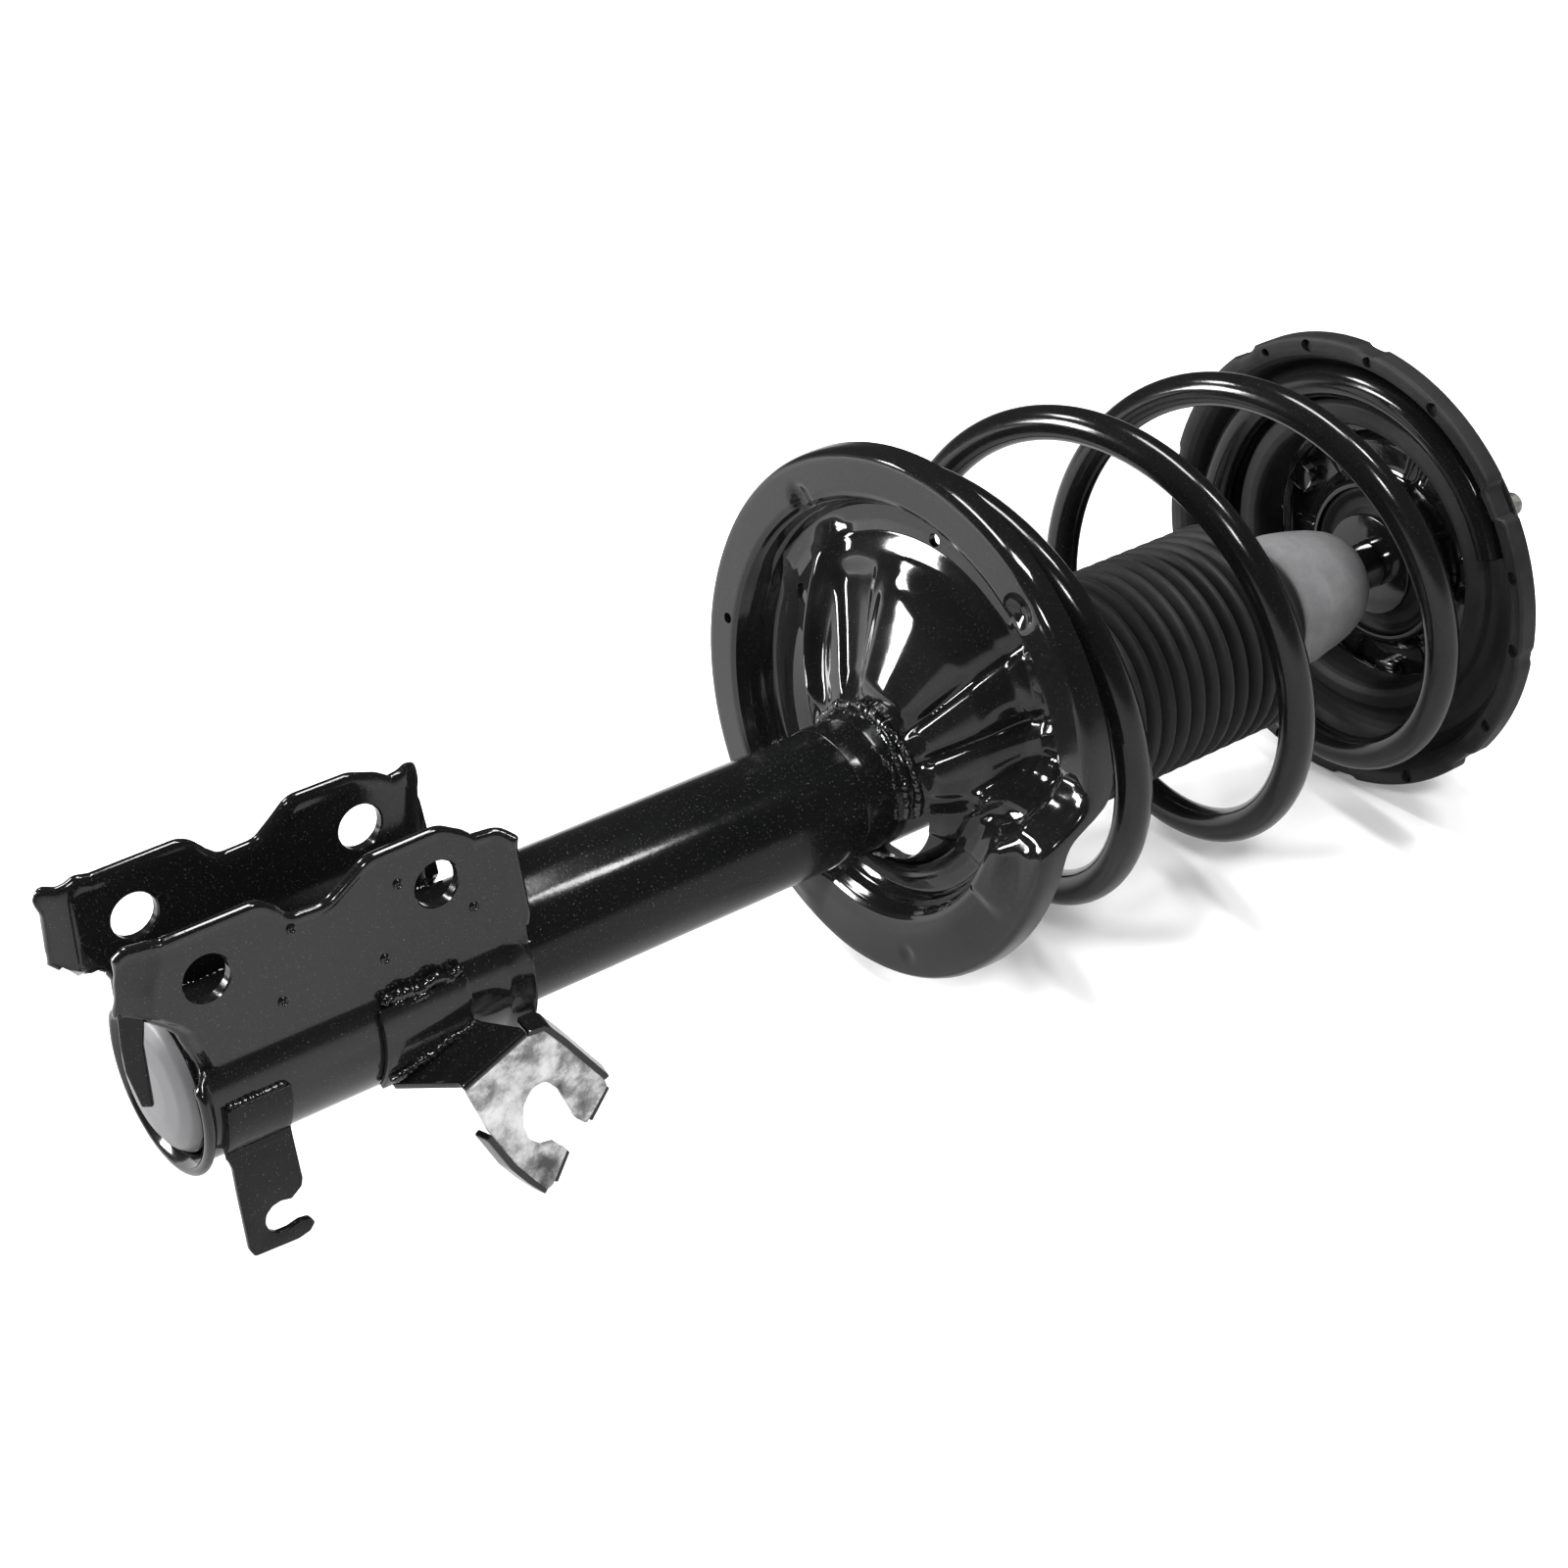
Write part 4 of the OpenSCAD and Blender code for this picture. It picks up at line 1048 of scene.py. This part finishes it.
def hose():
    objs = []
    # saddle on the wrap
    xs = np.linspace(56, 90, 18)
    zs = np.radians(np.linspace(156, 218, 20))
    G = np.array([[(x, 30.25 * math.cos(a), 30.25 * math.sin(a)) for a in zs] for x in xs])
    Gn = np.array([[(0, math.cos(a), math.sin(a)) for a in zs] for x in xs])
    objs.append(solid_sheet("hb0", G, 2.6, "bracket", "strut_tube", "gloss_black", 38, 0.7, normals=Gn))
    # arm: ruled from the saddle out to the bend, with a rounded bend down into the fork's plate
    s = np.linspace(0, 1, 26)
    inner = np.stack([58.5 + 31.5 * s, -28.6 - 2.6 * s, -17.5 + 13.0 * s], -1)
    bend = np.stack([72.0 + 25.5 * s, np.full(26, -48.6), -12.4 + 10.6 * s], -1)
    rows = []
    for k in range(14):
        t = k / 13
        rows.append(inner + (bend - inner) * t)
    perp = np.array([0.39, 0, -0.92])
    for k in range(1, 7):
        a = math.pi / 2 * k / 6
        rows.append(bend + np.array([0, -2.4 * math.sin(a), 0]) + perp * 2.4 * (1 - math.cos(a)))
    G = np.array(rows)
    objs.append(solid_sheet("hb1", G, 2.6, "bracket", "strut_tube", "gloss_black", 38, 0.5, side=HSIDE))
    fork = [(73.2, -15.0), (98.2, -4.6), (105, -5.2), (112, -14), (127.5, -35.5), (128.4, -38.6), (119, -50), (115.2, -46.2), (112.2, -39), (109, -31.2), (104.2, -25.4), (98.6, -25.2), (94.6, -31), (94, -39), (96, -46), (101, -50.6), (105.8, -51.4), (110.4, -57), (103.6, -68.6), (101, -69.4), (90, -53.6), (80.5, -35)]
    fo = fillet(fork, [1, 1, 2, 3, 1.5, 1, 1, 2, 3, 2, 4, 4, 5, 6, 6, 2, 2, 1.2, 1.2, 1.5, 3, 3], 5, True)
    objs.append(plate("hb2", fo, "fork", "strut_tube", "gloss_black", -51.4, -48.6, 0.55))
    # flanges along the fork's two long edges, turned towards the strut
    up = np.array([(98.5, -5.0), (105, -5.6), (112, -14.4), (119.6, -25), (127.6, -36.2)])
    o_ = np.stack([up[:, 0], np.full(5, -51.0), up[:, 1]], -1)
    i_ = np.stack([up[:, 0] + 1.2, np.array([-42.5, -41.8, -42.2, -43, -44.5]), up[:, 1] + 0.9], -1)
    objs.append(sheet_strip("hb3", o_, i_, 2.4, side=-HSIDE))
    dn = np.array([(81.2, -36.4), (90, -53.4), (96, -62), (102, -69.2)])
    o_ = np.stack([dn[:, 0], np.full(4, -51.0), dn[:, 1]], -1)
    i_ = np.stack([dn[:, 0] - 1.0, np.array([-44.5, -43.5, -43.5, -45]), dn[:, 1] - 0.8], -1)
    objs.append(sheet_strip("hb4", o_, i_, 2.4, side=HSIDE))
    # small tabs on the prong tips
    tip1 = np.array([(127.6, -38.4), (119.6, -48.6)])
    o_ = np.stack([tip1[:, 0], np.full(2, -50.9), tip1[:, 1]], -1)
    i_ = np.stack([tip1[:, 0] + 0.8, np.full(2, -46.0), tip1[:, 1] - 0.8], -1)
    objs.append(sheet_strip("hb5", o_, i_, 2.2, n=10, side=-HSIDE))
    tip2 = np.array([(109.6, -57.2), (103.8, -67.4)])
    o_ = np.stack([tip2[:, 0], np.full(2, -50.9), tip2[:, 1]], -1)
    i_ = np.stack([tip2[:, 0] + 0.8, np.full(2, -45.0), tip2[:, 1] - 0.8], -1)
    objs.append(sheet_strip("hb6", o_, i_, 2.2, n=10, side=-HSIDE))
    # welds above and below the saddle
    xs = np.linspace(58, 90, 30)
    objs.append(bead("hw1", np.stack([xs, -27.9 + 0 * xs, 14.3 + 0.8 * np.sin(xs * 0.5)], -1), 2.0, "weld", "strut_tube", "gloss_black", 11, 2.2, 1.0))
    objs.append(bead("hw1b", np.stack([xs[3:-5], -28.4 + 0 * xs[3:-5], 11.8 + 0.6 * np.sin(xs[3:-5] * 0.8)], -1), 1.5, "weld", "strut_tube", "gloss_black", 21, 1.9, 1.0))
    objs.append(bead("hw2", np.stack([np.linspace(57, 91, 30), -31.4 - np.linspace(0, 1.2, 30), -9.5 + np.linspace(-4.5, 5.0, 30)], -1), 1.6, "weld", "strut_tube", "gloss_black", 12, 2.3, 0.7))
    return join(objs, "hose_fork")


# fork plate: the mottled bright base colour, turned metallic in its brightest patches, is painted highlight standing
# in for the plate's reflection of the lights
m_, nt_, N_, L_, b_ = nodes_of("fork_painted_highlight")
f_ = noise(nt_, 62, 6, 0.62, dist=0.15)
L_.new(ramp(nt_, f_, [(0.34, 0.03), (0.44, 0.14), (0.52, 0.38), (0.62, 0.70)]), b_.inputs["Base Color"])
L_.new(ramp(nt_, f_, [(0.35, 0.16), (0.6, 0.36)]), b_.inputs["Roughness"])
L_.new(bumpn(nt_, noise(nt_, 260, 4, 0.6), 0.5, 0.0004, bumpn(nt_, f_, 0.6, 0.0010)), b_.inputs["Normal"])
L_.new(ramp(nt_, f_, [(0.46, 0.0), (0.6, 0.75)]), b_.inputs["Metallic"])
M["fork"] = m_
HSIDE = -1.0
settle(hose(), "hose_bracket")


# ---------------------------------------------------------------- sensor clip

def clip():
    objs = []
    xs = np.linspace(-3, 20.5, 14)
    zs = np.radians(np.linspace(176, 212, 14))
    G = np.array([[(x, 30.1 * math.cos(a), 30.1 * math.sin(a)) for a in zs] for x in xs])
    # the strap leaves the wrap and runs straight down
    tail = []
    for x in xs:
        row = []
        for k in range(1, 6):
            t = k / 5
            row.append((x, -25.55 - 0.35 * t, -15.95 - 4.0 * t))
        tail.append(row)
    G = np.concatenate([G, np.array(tail)], 1)
    objs.append(solid_sheet("sc0", G, 2.4, "clip", "strut_tube", "gloss_black", 38, 0.5, side=CSIDE))
    tab = [(-3, -18.5), (-1.6, -24), (-1.2, -34), (0.2, -57.5), (1.6, -60.6), (18, -61.6), (22.6, -60.6), (24.7, -58), (23.4, -55.4), (19.5, -54.6), (15, -55.6), (11, -55.4), (8.2, -53.4), (7, -50), (7.6, -46.6), (10.2, -44.2), (13.6, -43.6), (17.4, -44.6), (21.6, -41.4), (22.3, -38.5), (20.6, -18.5)]
    fo = fillet(tab, [0.5, 6, 10, 2, 1.5, 4, 2, 1.2, 2, 3, 3, 3, 3, 3, 3, 2.5, 2.5, 1.5, 2, 2, 0.5], 4, True)
    objs.append(plate("sc1", fo, "clip", "strut_tube", "gloss_black", -28.2, -25.75, 0.45))
    xs = np.linspace(-2, 19, 22)
    objs.append(bead("sw1", np.stack([xs, -30.6 + 0 * xs, 2.2 + 0 * xs], -1), 1.1, "weld", "strut_tube", "gloss_black", 31, 2.0, 0.6))
    return join(objs, "sensor_hook")


CSIDE = -1.0
settle(clip(), "sensor_clip")

# ---------------------------------------------------------------- weld between the bracket and the tube, and pierced dots on the ear

objs = []
for s in (-1, 1):
    xs = np.linspace(-3, 108, 90)
    objs.append(bead("bw%d" % s, np.stack([xs, s * 22.3 + 0 * xs, 14.9 + 0.25 * np.sin(xs)], -1), 1.5, "weld", "strut_tube", "gloss_black", 40 + s, 2.2, 0.5))
a = np.radians(np.linspace(152, 388, 120))
objs.append(bead("bw3", np.stack([114.6 + 0 * a, 27.0 * np.cos(a), 27.0 * np.sin(a)], -1), 1.6, "weld", "strut_tube", "gloss_black", 44, 2.3, 0.5))
for k, (x, z) in enumerate(dots):
    ring = [(1.55, -26.35), (1.15, -26.55), (0.7, -26.2), (0.5, -25.7), (0.02, -25.6)]
    n = 20
    V, F = [], []
    for r, y in [(1.9, -25.4)] + ring:
        V += [(x + r * math.cos(2 * math.pi * j / n), y, z + r * math.sin(2 * math.pi * j / n)) for j in range(n)]
    objs.append(mk("dot%d" % k, V, grid_faces(6, n), "weld", "strut_tube", "gloss_black"))
welds = join(objs, "bracket_welds")
settle(welds)

# ---------------------------------------------------------------- the CAD nodes that stay

for node, mat in {"gland_cap": "tube", "rod_guide": "sinter", "guide_bushing": "bronze", "rod_seal": "seal", "seal_spring": "steel",
                  "pressure_tube": "steel", "base_valve_body": "sinter", "base_valve_shims": "steel", "base_valve_rivet": "steel",
                  "bearing_lower_race": "steel", "bearing_balls": "steel", "bearing_cage": "nylon", "bearing_upper_race": "steel",
                  "mount_sleeve": "steel", "piston": "sinter", "piston_band": "band", "rebound_shims": "steel",
                  "compression_shims": "steel", "piston_nut": "steel", "rebound_collar": "steel", "rebound_bumper": "seal"}.items():
    cad(node, mat)

# ---------------------------------------------------------------- the spring and the boot: transforms baked and CAD nodes hidden; no stretch with the travel is set up here

def stretchy(o, node):
    for k in ("body_", "slot_", "sharp_"):
        if k in o:
            del o[k]
    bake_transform(o)
    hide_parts(node)


co = np.array([v.co for v in spring.data.vertices]) * 1000 + [FX, 0, 0]
d2 = ((co[:, None, :] - WP[None, ::3, :]) ** 2).sum(-1)
ang = WA[::3][d2.argmin(1)]
# one weight for each cross-section, meant to keep the wire's thickness; the weights are not applied here
w = np.clip((ang + 318) / (742 + 318), 0, 1)
w = np.where(ang < -318, 0, w)
stretchy(spring, "coil_spring")
co = np.array([v.co for v in boot.data.vertices]) * 1000 + [FX, 0, 0]
stretchy(boot, "dust_boot")

# ---------------------------------------------------------------- floor, light, camera

lo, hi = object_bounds()
zf = lo.z - 0.0005
n = 40
V, F = [], []
S = 6.0
for i in range(n + 1):
    for j in range(n + 1):
        V.append((-S + 2 * S * i / n, -S + 2 * S * j / n, zf))
for i in range(n):
    for j in range(n):
        a_ = i * (n + 1) + j
        F.append((a_, a_ + n + 1, a_ + n + 2, a_ + 1))
me = bpy.data.meshes.new("floor")
me.from_pydata(V, [], F)
floor = bpy.data.objects.new("floor", me)
bpy.context.scene.collection.objects.link(floor)
m, nt, N, L, b = nodes_of("floor_paper")
lp = nt.nodes.new("ShaderNodeLightPath")
L.new(mixc(nt, lp.outputs["Is Glossy Ray"], mixc(nt, noise(nt, 3.0, 2), (0.90, 0.90, 0.90), (0.93, 0.93, 0.93)), (0.46, 0.46, 0.46)), b.inputs["Base Color"])
b.inputs["Emission Color"].default_value = (1, 1, 1, 1)
b.inputs["Emission Strength"].default_value = 0.08
b.inputs["Roughness"].default_value = 0.85
b.inputs["Specular IOR Level"].default_value = 0.1
me.materials.append(m)

world = bpy.data.worlds.new("studio")
bpy.context.scene.world = world
world.use_nodes = True
nt = world.node_tree
bg = nt.nodes["Background"]
lp = nt.nodes.new("ShaderNodeLightPath")
tc = nt.nodes.new("ShaderNodeTexCoord")
sep = nt.nodes.new("ShaderNodeSeparateXYZ")
nt.links.new(tc.outputs["Generated"], sep.inputs[0])
grad = ramp(nt, add(nt, add(nt, sep.outputs["Z"], 0.5, "MULTIPLY"), 0.5), [(0.45, 0.5), (0.52, 0.16), (0.62, 0.035), (1.0, 0.02)])
mix = mixc(nt, lp.outputs["Is Glossy Ray"], (1.0, 1.0, 1.0), grad)
nt.links.new(mix, bg.inputs["Color"])
bg.inputs["Strength"].default_value = 0.74


def area(name, loc, target, size, power, size_y=None):
    l = bpy.data.lights.new(name, "AREA")
    l.shape = "RECTANGLE"
    l.size, l.size_y = size, size_y or size
    l.energy = power
    o = bpy.data.objects.new(name, l)
    o.location = loc
    o.rotation_euler = (Vector(target) - Vector(loc)).to_track_quat("-Z", "Y").to_euler()
    bpy.context.scene.collection.objects.link(o)
    return o


mid = Vector((-0.28, 0.0, 0.02))


def at(d, dist):
    return mid + Vector(d).normalized() * dist


area("window_left", at((-0.79, 0.55, 0.29), 1.5), mid, 0.34, 34, 0.5)
area("panel_top", (0.0, 0.0, 1.4), (0.0, 0.0, 0.0), 0.24, 17, 0.7)
area("box_right", at((0.36, -0.36, 0.86), 1.6), mid, 0.16, 9, 0.30)
area("box_step", at((-0.36, 0.62, 0.69), 1.5), mid, 0.24, 10, 0.24)
area("box_front", at((-0.5, -0.9, 0.9), 1.9), mid, 0.22, 12, 0.22)

# camera
cam = bpy.data.cameras.new("camera")
co_ = bpy.data.objects.new("camera", cam)
bpy.context.scene.collection.objects.link(co_)
bpy.context.scene.camera = co_
rv = np.array([1.9967235677541477, -0.712634029738685, 0.37719635234268445])
tv = np.array([-193.50046807076504, 92.54012856321893, 973.7667963428519])
an = np.linalg.norm(rv)
kx, ky, kz = rv / an
K = np.array([[0, -kz, ky], [kz, 0, -kx], [-ky, kx, 0]])
R = np.eye(3) + math.sin(an) * K + (1 - math.cos(an)) * K @ K
C = -R.T @ tv
mw = Matrix.Identity(4)
for i in range(3):
    mw[i][0], mw[i][1], mw[i][2] = R[0][i], -R[1][i], -R[2][i]
    mw[i][3] = (C[i] - (FX if i == 0 else 0)) / 1000
co_.matrix_world = mw
cam.sensor_width = 36
cam.lens = math.exp(8.028694085694793) / 1600 * 36
cam.clip_start, cam.clip_end = 0.05, 50

sc = bpy.context.scene
sc.view_settings.view_transform = "Standard"
sc.view_settings.look = "None"
sc.view_settings.exposure = 0.0
